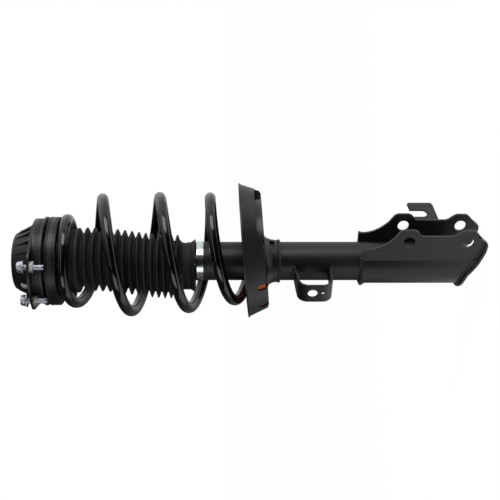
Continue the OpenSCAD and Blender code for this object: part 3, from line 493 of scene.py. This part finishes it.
class Tree:
    """A Geometry Nodes group with named inputs, built in the same way as a material."""

    KINDS = {
        float: "NodeSocketFloat",
        int: "NodeSocketInt",
        "material": "NodeSocketMaterial",
        "object": "NodeSocketObject",
    }

    def __init__(self, name, inputs):
        self.tree = bpy.data.node_groups.new(name, "GeometryNodeTree")
        sockets = self.tree.interface
        sockets.new_socket("Geometry", in_out="INPUT", socket_type="NodeSocketGeometry")
        for label, kind in inputs.items():
            sockets.new_socket(label, in_out="INPUT", socket_type=self.KINDS[kind])
        sockets.new_socket("Geometry", in_out="OUTPUT", socket_type="NodeSocketGeometry")
        self.group_in = self.tree.nodes.new("NodeGroupInput")

    def given(self, label):
        """One of the group's named inputs."""
        return self.group_in.outputs[label]

    def node(self, kind, settings=None, inputs=None, out=0):
        """Adds a node and gives one of its outputs."""
        return add_node(self.tree, kind, settings, inputs).outputs[out]

    def close(self, geometry):
        """Ends the tree: instances are made real and the finish is set."""
        real = self.node("GeometryNodeRealizeInstances", None, {0: geometry})
        smooth = self.node("GeometryNodeSetShadeSmooth", None, {0: real})
        shown = self.node("GeometryNodeSetMaterial", None, {0: smooth, "Material": self.given("Finish")})
        add_node(self.tree, "NodeGroupOutput", None, {0: shown})

    def apply(self, name, carrier, **values):
        """Runs the tree on a carrier object and returns the result as a plain piece."""
        modifier = carrier.modifiers.new("Build", "NODES")
        modifier.node_group = self.tree
        sockets = {s.name: s.identifier for s in self.tree.interface.items_tree if s.in_out == "INPUT"}
        for key, value in values.items():
            modifier[sockets[key.replace("_", " ")]] = value
        bpy.context.view_layer.update()
        graph = bpy.context.evaluated_depsgraph_get()
        mesh = bpy.data.meshes.new_from_object(carrier.evaluated_get(graph), depsgraph=graph)
        carrier.modifiers.remove(modifier)
        bpy.data.objects.remove(carrier)
        mesh.name = name
        return put(name, mesh)


def path_object(name, points, cyclic=False, thickness=None):
    """A poly curve through the points. thickness scales a swept section at each of them."""
    curve = bpy.data.curves.new(name, "CURVE")
    curve.dimensions = "3D"
    spline = curve.splines.new("POLY")
    spline.points.add(len(points) - 1)
    for k, (point, place) in enumerate(zip(spline.points, points)):
        point.co = (*place, 1)
        point.radius = 1.0 if thickness is None else thickness[k]
    spline.use_cyclic_u = cyclic
    return put(name, curve)


def points_object(name, points):
    """Loose points that a tree can stand things on."""
    mesh = bpy.data.meshes.new(name)
    mesh.from_pydata([tuple(p) for p in points], [], [])
    return put(name, mesh)


def wire_tree():
    """Sweeps a round wire along a path and closes its ends."""
    tree = Tree("round_wire", {"Wire Radius": float, "Sides": int, "Finish": "material"})
    ring = tree.node(
        "GeometryNodeCurvePrimitiveCircle",
        {"mode": "RADIUS"},
        {"Resolution": tree.given("Sides"), "Radius": tree.given("Wire Radius")},
    )
    swept = tree.node(
        "GeometryNodeCurveToMesh",
        None,
        {"Curve": tree.given("Geometry"), "Profile Curve": ring, "Fill Caps": True},
    )
    tree.close(swept)
    return tree


def bead_tree():
    """Lays overlapping ripples of weld along a path, each a little different."""
    numbers = {"Pitch": float, "Bead Radius": float, "Unevenness": float, "Seed": int}
    tree = Tree("weld_bead", {**numbers, "Finish": "material"})
    stops = tree.node(
        "GeometryNodeResampleCurve",
        {"mode": "LENGTH"},
        {"Curve": tree.given("Geometry"), "Length": tree.given("Pitch")},
    )
    ball = {"Radius": tree.given("Bead Radius"), "Subdivisions": 3}
    drop = tree.node("GeometryNodeMeshIcoSphere", None, ball)
    bounds = {0: 1.0, 1: tree.given("Unevenness")}
    least = tree.node("ShaderNodeMath", {"operation": "SUBTRACT"}, bounds)
    most = tree.node("ShaderNodeMath", {"operation": "ADD"}, bounds)
    size = tree.node(
        "FunctionNodeRandomValue",
        {"data_type": "FLOAT"},
        {2: least, 3: most, "Seed": tree.given("Seed")},
        out=1,
    )
    laid = {"Points": stops, "Instance": drop, "Scale": size}
    tree.close(tree.node("GeometryNodeInstanceOnPoints", None, laid))
    return tree


def stand_tree():
    """Stands a copy of one object on every point."""
    tree = Tree("stand_on_points", {"Part": "object", "Finish": "material"})
    part = tree.node(
        "GeometryNodeObjectInfo",
        {"transform_space": "ORIGINAL"},
        {"Object": tree.given("Part")},
        out="Geometry",
    )
    placed = {"Points": tree.given("Geometry"), "Instance": part}
    tree.close(tree.node("GeometryNodeInstanceOnPoints", None, placed))
    return tree


# ---------------------------------------------------------------- sizes and colours


def length(name, description, default):
    """A length that can be set in the panel."""
    return bpy.props.FloatProperty(name=name, description=description, default=default, unit="LENGTH")


def colour(name, description, default):
    """A colour that can be set in the panel."""
    return bpy.props.FloatVectorProperty(
        name=name, description=description, default=default, subtype="COLOR"
    )


class StrutSizes(bpy.types.PropertyGroup):
    """Sizes of the pieces that are made here."""

    wire: length("Spring wire", "Diameter of the spring wire", 14.5 * MM)
    end_coil: length("Upper coil", "Mean radius of the spring's upper end coil", 55 * MM)
    wide_coil: length("Widest coil", "Mean radius of the spring's widest coils", 73.8 * MM)
    low_coil: length("Lower coil", "Mean radius of the coil in the lower seat", 67 * MM)
    ribs: bpy.props.IntProperty(
        name="Bellows ribs", description="Number of ribs down the bellows", default=15, min=4
    )
    boot_wall: length("Bellows wall", "Wall of the bellows", 1.5 * MM)
    bolt: length("Mounting bolt", "Thread diameter of the mounting bolts", 8 * MM)
    pitch: length("Bolt pitch", "Thread pitch of the mounting bolts", 1.25 * MM)
    edge: length("Pressed edge", "Rounding of the edges of pressed sheet", 0.7 * MM)
    bead: length("Weld bead", "Radius of the weld beads", 2.1 * MM)


class StrutLooks(bpy.types.PropertyGroup):
    """Colours of the finishes."""

    paint: colour("Paint", "Satin black paint on the steel parts", (0.007, 0.007, 0.0076))
    spring: colour("Spring", "Powder coat on the spring", (0.004, 0.004, 0.0046))
    rubber: colour("Rubber", "Bellows and mount rubber", (0.007, 0.007, 0.0075))
    pad: colour("Spring pad", "Pad in the lower seat", (0.78, 0.17, 0.02))
    zinc: colour("Zinc", "Bright zinc plate", (0.72, 0.76, 0.82))


def sizes():
    """The sizes that are set in the panel."""
    return bpy.context.scene.strut_sizes


# ---------------------------------------------------------------- the spring and the bellows


def along_knots(knots, t):
    """A smooth curve through evenly spaced knots: t counts knots from the first one."""
    i = math.floor(t)
    f = t - i
    a0, a, b, b1 = (knots[max(0, min(len(knots) - 1, i + k))] for k in (-1, 0, 1, 2))
    ma, mb = (b - a0) / 2, (b1 - a) / 2
    return (
        a * (2 * f**3 - 3 * f**2 + 1)
        + ma * (f**3 - 2 * f**2 + f)
        + b * (3 * f**2 - 2 * f**3)
        + mb * (f**3 - f**2)
    )


# Knots half a turn apart: the share of the height come down, the share of the widening, and the
# share of the dish's offset
SPRING_DROP = (0, 0, 0.048, 0.187, 0.346, 0.491, 0.651, 0.76, 0.895, 1.017, 1.04, 1.04)
SPRING_WIDEN = (0, 0, 0.08, 1, 1, 0.95, 0.95, 0.73, 0.64, 0.64, 0.64, 0.64)
SPRING_SHIFT = (0, 0, 0.09, 0.49, 0.49, 0.62, 0.62, 0.86, 0.98, 1, 1, 1)
# In degrees of turn from the second knot: where the wire starts and ends. Then the second knot's angle
SPRING_FROM, SPRING_TO, SPRING_START = -150.0, 1660.0, 30
SPRING_TOP, SPRING_LOW = -40.6 * MM, -289.2 * MM
# From this turn on the coils narrow towards the dish, over so many degrees
NARROW_FROM, NARROW_OVER = 720, 540
# How far the first coil and the coil over the dish lean, and how softly the wire meets its seat
TOP_LEAN, LOW_LEAN, SPRING_EASE = 4.8 * MM, 9.2 * MM, 2.2 * MM
# How each lean comes and goes: shares of it, and the turns over which each share is added
TOP_LEAN_STEPS = ((1, 60, 130), (-1, 230, 330))
LOW_LEAN_STEPS = ((0.4, 560, 700), (0.6, 840, 1000), (-1, 1360, 1480))
DISH_OFFSET, DISH_TILT = 18.6 * MM, math.radians(5)
# The ramp's height over the pad, with its clearance, and the turns over which it falls away
RAMP_OVER_PAD, RAMP_FALL = (8.7 - 2.2 + 0.4) * MM, (1500, 1570)


def step_up(t, start, end):
    """A soft step from 0 at start to 1 at end."""
    f = min(1, max(0, (t - start) / (end - start)))
    return f * f * (3 - 2 * f)


def leaning(t, steps):
    """The share of a lean that the wire has at a turn."""
    return sum(share * step_up(t, start, end) for share, start, end in steps)


def spring_seat(t):
    """The lowest height at which the wire may lie in the dish, on its pad or on its ramp."""
    rise = math.tan(DISH_TILT) * sizes().low_coil * math.cos(math.radians(SPRING_START - t))
    return SPRING_LOW + rise + RAMP_OVER_PAD * (1 - step_up(t, *RAMP_FALL))


def spring_point(t):
    """The wire's centre after t degrees of turn from the second knot."""
    size = sizes()
    angle = math.radians(SPRING_START - t)
    place = t / 180 + 1
    if t > NARROW_FROM:
        r = size.wide_coil + (size.low_coil - size.wide_coil) * min(1, (t - NARROW_FROM) / NARROW_OVER)
    else:
        r = size.end_coil + (size.wide_coil - size.end_coil) * along_knots(SPRING_WIDEN, place)
    z = SPRING_TOP - max(0, along_knots(SPRING_DROP, place)) * (SPRING_TOP - SPRING_LOW)
    lean = TOP_LEAN * leaning(t, TOP_LEAN_STEPS) + LOW_LEAN * leaning(t, LOW_LEAN_STEPS)
    z += math.sin(math.radians(t)) * lean
    seat = spring_seat(t)
    z = (z + seat + math.hypot(z - seat, SPRING_EASE)) / 2
    shift = DISH_OFFSET * along_knots(SPRING_SHIFT, place)
    return Vector((shift + r * math.cos(angle), r * math.sin(angle), z))


def linear_weights(piece, weights):
    """How far each point follows the lower body, in place of the smoothed share."""
    data = piece.data.attributes[DEFORM].data
    data.foreach_set("value", np.asarray(weights, np.float32))


# Degrees between the wire's sections, and the share of its width left at its cut ends
SECTION_STEP, END_WIDTH = 4.0, 0.92
# The turns over which the wire comes to move wholly with the dish
SETTLE = (1180, 1300)


def build_spring():
    """Winds the wire from the upper seat down to the dish."""
    size = sizes()
    turns = np.arange(SPRING_FROM, SPRING_TO + SECTION_STEP / 2, SECTION_STEP)
    path = [spring_point(t) for t in turns]
    inward = np.clip(np.minimum(turns - SPRING_FROM, SPRING_TO - turns), 0, 1)
    taper = inward * (1 - END_WIDTH) + END_WIDTH
    piece = wire_tree().apply(
        "spring_wire",
        path_object("spring_path", path, thickness=taper),
        Wire_Radius=size.wire / 2,
        Sides=40,
        Finish=finish("spring_paint"),
    )
    face_out(piece.data)
    piece.data.shade_smooth()
    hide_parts("coil_spring")
    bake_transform(piece, SEAT, TUBE, start=(0, 0, SPRING_TOP), end=(0, 0, SPRING_LOW))
    # each wire section moves as one, so the wire stays round as the spring is pressed
    centres = np.array([tuple(p) for p in path])
    near = [((centres - corner) ** 2).sum(1).argmin() for corner in corners_of(piece)]
    share = np.clip((SPRING_TOP - centres[:, 2]) / (SPRING_TOP - SPRING_LOW), 0, 1)
    settled = np.clip((turns - SETTLE[0]) / (SETTLE[1] - SETTLE[0]), 0, 1)
    linear_weights(piece, (share * (1 - settled) + settled)[near])


# The sideways sag in millimetres at evenly spaced knots, of which the second one is at the hub's end and
# the last but one at the bellows' end, and the direction that it goes in
BOOT_SAG, SAG_ANGLE = (0, 0, 2.4, 1, -2.5, -6, -7.3, -6.1, -6.1), math.radians(30)
# Heights down the bellows: its top, the end of the seat's hub that it grips, its collar and its end
BOOT_TOP, HUB_END, BOOT_COLLAR, BOOT_END = -24.75 * MM, -43 * MM, -56.5 * MM, -210 * MM
COLLAR_R, CREST_R, VALLEY_R, NECK_R, LIP_R = 42.9 * MM, 42.3 * MM, 34 * MM, 31 * MM, 35 * MM
# Spacing of the ribs at the top and at the end, the plain length past them, and their roundings
FIRST_RIB, LAST_RIB, NECK_LEN = 10.4 * MM, 8 * MM, 24 * MM
CREST_ROUND, VALLEY_ROUND = 0.9 * MM, 1.0 * MM


def boot_shift(z):
    """How far the bellows sags to one side at a height."""
    top = HUB_END - MM
    if z > top:
        return 0.0
    spans = len(BOOT_SAG) - 3
    return MM * along_knots(BOOT_SAG, 1 + spans * (top - z) / (top - BOOT_END))


def rib_heights(count):
    """Heights of the ribs' crests, closer together towards the end."""
    scale = (BOOT_COLLAR - BOOT_END - NECK_LEN) / ((FIRST_RIB + LAST_RIB) / 2 * (count - 1))
    closer = (FIRST_RIB - LAST_RIB) / 2 / (count - 2)
    return [BOOT_COLLAR - scale * (FIRST_RIB * k - closer * k * (k - 1)) for k in range(count)]


def boot_outline(count):
    """(radius, height, share of crest) down the outside of the bellows."""
    z = rib_heights(count)
    line = [(COLLAR_R, BOOT_TOP, 0.0), (COLLAR_R, HUB_END - MM, 0.0)]
    line += [(COLLAR_R, HUB_END - 2.2 * MM, 0.6), (COLLAR_R - 0.6 * MM, HUB_END - 3.2 * MM, 0.2)]
    line += [(COLLAR_R - 0.6 * MM, BOOT_COLLAR + 4 * MM, 0.0), (COLLAR_R, BOOT_COLLAR + 1.6 * MM, 0.5)]
    for k in range(count):
        centre = (COLLAR_R if k == 0 else CREST_R) - CREST_ROUND
        for turn in np.radians((0, -35, -70) if k == 0 else (70, 35, 0, -35, -70)):
            r, rise = centre + CREST_ROUND * math.cos(turn), CREST_ROUND * math.sin(turn)
            line.append((r, z[k] + rise, math.cos(turn) ** 2))
        if k < count - 1:
            middle, centre = (z[k] + z[k + 1]) / 2, VALLEY_R + VALLEY_ROUND
            for turn in np.radians((115, 145, 180, 215, 245)):
                r, rise = centre + VALLEY_ROUND * math.cos(turn), VALLEY_ROUND * math.sin(turn)
                line.append((r, middle + rise, 0.0))
    line += [(VALLEY_R + 1.5 * MM, z[-1] - 3.2 * MM, 0.0), (VALLEY_R, z[-1] - 4.4 * MM, 0.0)]
    # the neck, its clamping groove and the flared lip
    line += [(NECK_R + 0.8 * MM, BOOT_END + 17 * MM, 0.0), (NECK_R, BOOT_END + 15.5 * MM, 0.0)]
    line += [(NECK_R, BOOT_END + 11 * MM, 0.0), (NECK_R + 0.7 * MM, BOOT_END + 10 * MM, 0.5)]
    line += [(NECK_R + 0.7 * MM, BOOT_END + 8.6 * MM, 0.5), (NECK_R, BOOT_END + 7.6 * MM, 0.0)]
    line += [(NECK_R + 0.4 * MM, BOOT_END + 6.4 * MM, 0.0), (LIP_R - 0.7 * MM, BOOT_END + 1.6 * MM, 0.4)]
    line += [(LIP_R, BOOT_END + 0.9 * MM, 1.0), (LIP_R - 0.2 * MM, BOOT_END + 0.2 * MM, 1.0)]
    return line


def build_bellows(sides=120):
    """Moulds the bellows as one closed skin, with its crests marked for the finish."""
    size = sizes()
    outside = boot_outline(size.ribs)
    line = outside + [(r - size.boot_wall, z, 0.0) for r, z, _ in reversed(outside)]
    sag = np.array((math.cos(SAG_ANGLE), math.sin(SAG_ANGLE)))
    mesh = from_rings("bellows", [circle(boot_shift(z) * sag, r, z, sides) for r, z, _ in line], loop=True)
    crest = mesh.attributes.new("crest", "FLOAT", "POINT")
    crest.data.foreach_set("value", np.repeat(np.array([c for _, _, c in line], np.float32), sides))
    piece = to_piece("bellows", mesh, finish("boot_rubber"))
    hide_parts("dust_boot")
    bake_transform(piece, SEAT, TUBE, start=(0, 0, HUB_END), end=(0, 0, BOOT_END))
    heights = np.repeat(np.array([z for _, z, _ in line]), sides)
    # the lip moves wholly with the tube
    linear_weights(piece, np.clip((HUB_END - heights) / (HUB_END - BOOT_END - 6 * MM), 0, 1))


# ---------------------------------------------------------------- bolts and welds


# The hexagon's width across its flats and its height, the shank's length below the flange, the circle
# that the bolts stand on, and how far their flanges stand over the plate
HEAD_FLATS, HEAD_LOW, HEAD_HIGH = 13 * MM, 1.9 * MM, 8.4 * MM
SHANK_LEN, BOLT_CIRCLE, BOLT_STAND = 25 * MM, 63.5 * MM, 4.5 * MM
BOLT_ANGLES = (-112.8, -67.2, 90)


def hex_radius(turn, flats):
    """Distance from the middle of a hexagon to its side in a direction, in degrees."""
    return flats / 2 / math.cos(math.radians((turn + 30) % 60 - 30))


def head_rings(flats, low_z, high_z, sides=96):
    """Rings up a hexagon head whose corners are turned off at the top, with a shallow dish in it."""
    rings = []
    for share in (0, 0.45, 0.62, 0.72, 0.8, 0.86, 0.92, 0.96, 1):
        z = low_z + (high_z - low_z) * share
        cone = flats / 2 * (1.3 - 0.33 * share)
        ring = []
        for turn in np.arange(sides) * 360 / sides:
            r = min(hex_radius(turn, flats), cone)
            ring.append((*circle_point(r, turn), z))
        rings.append(ring)
    dish_z = high_z - 0.3 * MM
    for r, z in ((flats * 0.42, high_z), (flats * 0.4, dish_z), (flats * 0.1, dish_z)):
        rings.append(circle((0, 0), r, z, sides))
    return rings


def thread_rings(r, pitch, low_z, high_z, sides=48):
    """Rings up a screw thread with a pointed end at low_z. The thread runs out at high_z."""
    rings = []
    depth, steps = 0.6 * pitch, 9
    turn = np.arange(sides) * TAU / sides
    for z in np.arange(low_z, high_z, pitch / steps):
        phase = (z / pitch - turn / TAU) % 1
        wave = np.clip(np.abs(phase - 0.5) * 2.4 - 0.1, 0, 1)
        lead = min(1.0, (z - low_z) / (1.6 * pitch))
        fade = min(1.0, max(0.0, (high_z - z) / (2 * pitch)))
        flank = np.minimum(r - depth * wave * fade, r - depth * 1.3 * (1 - lead))
        rings.append(np.stack([flank * np.cos(turn), flank * np.sin(turn), np.full(sides, z)], 1))
    rings.append(circle((0, 0), r, high_z, sides))
    return rings


def bolt_mesh(size):
    """One flange bolt, its flange's underside at the origin."""
    flange_r, rim = size.bolt * 1.125, 0.5 * MM
    flange = [(rim, 0), (flange_r - 0.4 * MM, 0)]
    flange += arc_points((flange_r - rim, rim), rim, -80, 60, 5)
    flange += [(flange_r - 1.6 * MM, 1.75 * MM), (6.9 * MM, 2.2 * MM), (0.5 * MM, 2.2 * MM)]
    head = from_rings("bolt_head", head_rings(HEAD_FLATS, HEAD_LOW, HEAD_HIGH))
    shank = from_rings("bolt_thread", thread_rings(size.bolt / 2, size.pitch, -SHANK_LEN, 0.3 * MM))
    return join_meshes("flange_bolt", [lathe("bolt_flange", flange, 72), head, shank])


def build_bolts():
    """Stands one threaded flange bolt on each of the plate's bolt places."""
    one = put("flange_bolt", bolt_mesh(sizes()))
    places = [(*circle_point(BOLT_CIRCLE, angle), BOLT_STAND) for angle in BOLT_ANGLES]
    carrier = points_object("bolt_places", places)
    piece = stand_tree().apply("mounting_bolts", carrier, Part=one, Finish=finish("bright_zinc"))
    bpy.data.objects.remove(one)
    sharpen(piece, 40)
    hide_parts("mount_bolts")
    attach(piece, PLATE)


# Each weld on the tube: its distance from the axis and its height in millimetres, its two ends in
# degrees, and its share of the usual bead's thickness
WELDS = {
    "collar_weld": (26.7, -319.6, 0, 360, 1.0),
    "hose_weld_high": (26.4, -338.7, -122, -78, 0.9),
    "hose_weld_low": (26.4, -386.9, -122, -78, 0.9),
    "bracket_weld": (26.6, -426.6, 52, 308, 0.9),
}
WELD_STEP = 4


def build_welds():
    """Lays each weld as a chain of overlapping beads."""
    size = sizes()
    tree = bead_tree()
    for seed, (name, (r, z, start, end, share)) in enumerate(WELDS.items()):
        closed = end - start == 360
        angles = np.linspace(start, end, (end - start) // WELD_STEP + 1)[: -1 if closed else None]
        points = [(*circle_point(r * MM, angle), z * MM) for angle in angles]
        piece = tree.apply(
            name,
            path_object(name + "_path", points, cyclic=closed),
            Pitch=size.bead * 0.75,
            Bead_Radius=size.bead * share,
            Unevenness=0.1,
            Seed=seed,
            Finish=finish("weld"),
        )
        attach(piece, TUBE)


# A plug's radius and that of the pinhole on its axis, and the heights of its back, its rim and its
# crown from the middle of the solid one
PLUG_R, PINHOLE_R = 5.25 * MM, 0.02 * MM
PLUG_BACK, PLUG_RIM, PLUG_CROWN = -1.2 * MM, 1.2 * MM, 2.6 * MM


def build_plugs():
    """Domed plugs that stand in the cup's flank where the solid ones are."""
    dome = PLUG_CROWN - PLUG_RIM
    profile = [(PINHOLE_R, PLUG_BACK), (PLUG_R, PLUG_BACK), (PLUG_R, PLUG_RIM)]
    profile += [(PLUG_R * math.cos(t), PLUG_RIM + dome * math.sin(t)) for t in np.linspace(0.25, 1.5, 8)]
    profile.append((PINHOLE_R, PLUG_CROWN))
    solid = corners_of(frame["nodes"]["cup_plugs"])
    meshes = []
    for side in (-1, 1):
        points = solid[solid[:, 0] * side > 0]
        middle = Vector(points.mean(0))
        # a plug is thinnest along its axis, which points away from the cup's middle
        axis = Vector(np.linalg.svd(points - points.mean(0))[2][2])
        axis *= math.copysign(1, axis.dot(middle.xy.to_3d()))
        plug = lathe("plug_dome", profile, 48)
        plug.transform(Matrix.Translation(middle) @ axis.to_track_quat("Z", "Y").to_matrix().to_4x4())
        meshes.append(plug)
    piece = to_piece("domed_plugs", join_meshes("domed_plugs", meshes), finish("pale_plug"))
    sharpen(piece, 50)
    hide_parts("cup_plugs")
    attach(piece, PLATE)


# ---------------------------------------------------------------- stamped parts and finishes


# The pressed pieces, each with its share of the usual rounding
PRESSED = {
    "knuckle_bracket": 1.0,
    "lower_spring_seat": 0.8,
    "hose_bracket": 0.8,
    "wire_bracket": 0.7,
    "mount_plate": 0.7,
}
# Nodes whose look differs from the rest of their material slot
OWN_LOOK = {
    "mount_cup": "cup_paint",
    "damper_tube": "tube_paint",
    "ball_cage": "black_plastic",
    "gland_cap": "cap_zinc",
}


def build_stampings():
    """Rounds the edges of the pressed pieces."""
    for node, share in PRESSED.items():
        piece = soften(node, sizes().edge * share, finish("black_paint"))


def dress_nodes():
    """Gives every solid of the frame its finish."""
    for subpart in frame["record"]["subparts"]:
        node, slot = subpart["node"], subpart["material_slot"]
        for place in frame["nodes"][node].material_slots:
            place.material = finish(OWN_LOOK.get(node, slot))


# ---------------------------------------------------------------- studio


# How far the camera is turned round the strut, toward the side on which the knuckle bracket opens
VIEW_TURN = math.radians(30)
# Toward the top of the picture, toward the camera, and the middle of the strut
UP = Vector((math.cos(VIEW_TURN), math.sin(VIEW_TURN), 0))
BACK = Vector((math.sin(VIEW_TURN), -math.cos(VIEW_TURN), 0))
AIM = Vector((0, 0, -0.29))
# How squarely a direction faces the unlit side of the room, where it is wholly dark and wholly white
DARK_SIDE = (0.85, 0.3)
# How far round from below, where the surround starts to brighten, and where it is brightest
BRIGHTENS = (-0.3, 0.7)
DIM, BRIGHT = 0.05, 0.9
SURROUND_LEVEL = 0.9
# The share of the floor's matt finish that is always seen, with its shadow, and the strength of its glow
MATT_SHARE, FLOOR_GLOW = 0.15, 1.12


def floor_finish():
    """Pale matt floor that keeps the shadow.

    The camera sees it white all over. Reflections see it white beside the strut; behind it, painted
    shade makes it paler above than below, and in front its glow and colour are painted dark as shade.
    """
    ink = Ink("studio_floor")
    where = ink.place()
    cloud = ink.noise(where, 0.8, 2, 0.5)
    # metres from the strut's axis, toward the camera and toward the top of the picture
    ahead, above = ink.along(where, BACK), ink.along(where, UP)
    # painted shade: in front of the strut, toward the camera, the floor is dark, and behind it its glow is
    # paler toward the top of the picture than below
    lit = 1 - ahead.above(0.3, 0.1)
    beside = ahead.above(-0.2, 0.3)
    shown = lit * (beside + (1 - beside) * (above.above(0.1, 0.8) * 0.5 + 0.12))
    pale = ink.blend(cloud, (0.8, 0.8, 0.8), (0.84, 0.84, 0.84))
    # painted shade: the base colour is near black in front of the strut, toward the camera
    ground = {"Base Color": ink.blend(lit, (0.02, 0.02, 0.02), pale), "Roughness": 1.0}
    matt = ink.node("ShaderNodeBsdfPrincipled", None, {**ground, "Specular IOR Level": 0.0})
    camera, seen = ink.rays()
    white = camera.math("MAXIMUM", camera, shown)
    glow = ink.node("ShaderNodeEmission", None, {"Color": white, "Strength": FLOOR_GLOW})
    glowing = seen * (1 - lit * MATT_SHARE)
    return ink.show(ink.node("ShaderNodeMixShader", None, {0: glowing, 1: matt, 2: glow}))


def build_world():
    """A white surround, lit all round but for the dark side that the camera stands on."""
    ink = Ink("studio", "worlds")
    facing = ink.node("ShaderNodeTexCoord", out="Generated")
    around = ink.ramp(ink.along(facing, BACK), *DARK_SIDE, DIM, 1.0)
    surround = around * ink.ramp(ink.along(facing, UP), *BRIGHTENS, DIM, BRIGHT)
    camera, seen = ink.rays()
    shown = camera.math("MAXIMUM", surround, camera)
    fill = ink.node("ShaderNodeBackground", None, {"Color": surround, "Strength": SURROUND_LEVEL})
    white = ink.node("ShaderNodeBackground", None, {"Color": shown, "Strength": 1.0})
    mixed = ink.node("ShaderNodeMixShader", None, {0: seen, 1: fill, 2: white})
    bpy.context.scene.world = ink.show(mixed, "ShaderNodeOutputWorld")


def turned_to(x, y, z, place):
    """A matrix whose axes are x, y and z, at a place."""
    turned = Matrix((x, y, z)).transposed().to_4x4()
    turned.translation = place
    return turned


def softbox(name, place, width, height, power):
    """A rectangular area light that faces the middle of the strut, its height along Z."""
    lamp = bpy.data.lights.new(name, "AREA")
    lamp.shape = "RECTANGLE"
    lamp.size, lamp.size_y = width, height
    lamp.energy = power
    back = (place - AIM).normalized()
    side = Vector((0, 0, 1)).cross(back).normalized()
    put(name, lamp).matrix_world = turned_to(side, back.cross(side), back, place)


def build_studio():
    """Sets up the floor, the surround and three softboxes."""
    floor_z, half = lowest("knuckle_bracket") - 0.5 * MM, 40.0
    corners = [(-half, -half), (half, -half), (half, half), (-half, half)]
    mesh = bpy.data.meshes.new("floor")
    mesh.from_pydata([(*corner, floor_z) for corner in corners], [], [(0, 1, 2, 3)])
    floor = to_piece("floor", mesh, floor_finish(), smooth=False)
    build_world()
    toward_top_mount = Vector((0, 0, 1))
    softbox("key", AIM + UP * 1.1 + BACK * 0.8, 0.7, 1.6, 13)
    softbox("low", AIM - UP + BACK * 0.8, 0.6, 1.5, 5)
    softbox("streak", AIM + UP * 0.25 + BACK + toward_top_mount * 0.75, 1.9, 0.07, 2.2)


# The camera's distance from the strut's axis, the height that it looks at, and its lens and shift
CAMERA_AWAY, CAMERA_Z = 1.2, -0.245
LENS, SENSOR, SHIFT = 65.09, 36, (0.056, 0.022)


def build_camera():
    """A long lens on one side, turned so that the strut lies across the picture."""
    data = bpy.data.cameras.new("camera")
    data.lens, data.sensor_width = LENS, SENSOR
    data.shift_x, data.shift_y = SHIFT
    data.clip_end = 50
    camera = put("camera", data)
    place = BACK * CAMERA_AWAY + Vector((0, 0, CAMERA_Z))
    camera.matrix_world = turned_to(Vector((0, 0, -1)), UP, BACK, place)
    bpy.context.scene.camera = camera


# ---------------------------------------------------------------- operators and panel


class MakeSpring(bpy.types.Operator):
    """Winds the coil spring and ties it to the two seats"""

    bl_idname = "strut.make_spring"
    bl_label = "Coil spring"

    def execute(self, context):
        build_spring()
        return {"FINISHED"}


class MakeBellows(bpy.types.Operator):
    """Moulds the bellows boot round the piston rod"""

    bl_idname = "strut.make_bellows"
    bl_label = "Bellows boot"

    def execute(self, context):
        build_bellows()
        return {"FINISHED"}


class MakeBolts(bpy.types.Operator):
    """Stands the threaded flange bolts in the mounting plate"""

    bl_idname = "strut.make_bolts"
    bl_label = "Mounting bolts"

    def execute(self, context):
        build_bolts()
        return {"FINISHED"}


class MakePlugs(bpy.types.Operator):
    """Stands the domed plugs in the cup's flank"""

    bl_idname = "strut.make_plugs"
    bl_label = "Cup plugs"

    def execute(self, context):
        build_plugs()
        return {"FINISHED"}


class MakeWelds(bpy.types.Operator):
    """Lays the weld beads on the damper tube"""

    bl_idname = "strut.make_welds"
    bl_label = "Welds"

    def execute(self, context):
        build_welds()
        return {"FINISHED"}


class MakeStampings(bpy.types.Operator):
    """Rounds the edges of the pressed steel parts"""

    bl_idname = "strut.make_stampings"
    bl_label = "Pressed steel parts"

    def execute(self, context):
        build_stampings()
        return {"FINISHED"}


class DressNodes(bpy.types.Operator):
    """Gives every part of the frame its finish"""

    bl_idname = "strut.dress_nodes"
    bl_label = "Finishes"

    def execute(self, context):
        dress_nodes()
        return {"FINISHED"}


class MakeStudio(bpy.types.Operator):
    """Sets up the floor, the lights and the camera"""

    bl_idname = "strut.make_studio"
    bl_label = "Studio"

    def execute(self, context):
        context.scene.view_settings.view_transform = "Standard"
        build_studio()
        build_camera()
        return {"FINISHED"}


STEPS = (DressNodes, MakeStampings, MakeSpring, MakeBellows, MakeBolts, MakePlugs, MakeWelds, MakeStudio)


class StrutPanel(bpy.types.Panel):
    """Lists the pieces of the strut with their sizes and colours"""

    bl_idname = "VIEW3D_PT_strut"
    bl_label = "Suspension Strut"
    bl_space_type = "VIEW_3D"
    bl_region_type = "UI"
    bl_category = "Strut"

    def draw(self, context):
        for group in (context.scene.strut_sizes, context.scene.strut_looks):
            box = self.layout.box()
            for key in group.__annotations__:
                box.prop(group, key)
        for step in STEPS:
            self.layout.operator(step.bl_idname)


CLASSES = (StrutSizes, StrutLooks, *STEPS, StrutPanel)


def register():
    for kind in CLASSES:
        bpy.utils.register_class(kind)
    bpy.types.Scene.strut_sizes = bpy.props.PointerProperty(type=StrutSizes)
    bpy.types.Scene.strut_looks = bpy.props.PointerProperty(type=StrutLooks)


def unregister():
    del bpy.types.Scene.strut_looks
    del bpy.types.Scene.strut_sizes
    for kind in reversed(CLASSES):
        bpy.utils.unregister_class(kind)


def main():
    register()
    for step in STEPS:
        group, action = step.bl_idname.split(".")
        getattr(getattr(bpy.ops, group), action)()


if __name__ == "__main__":
    main()
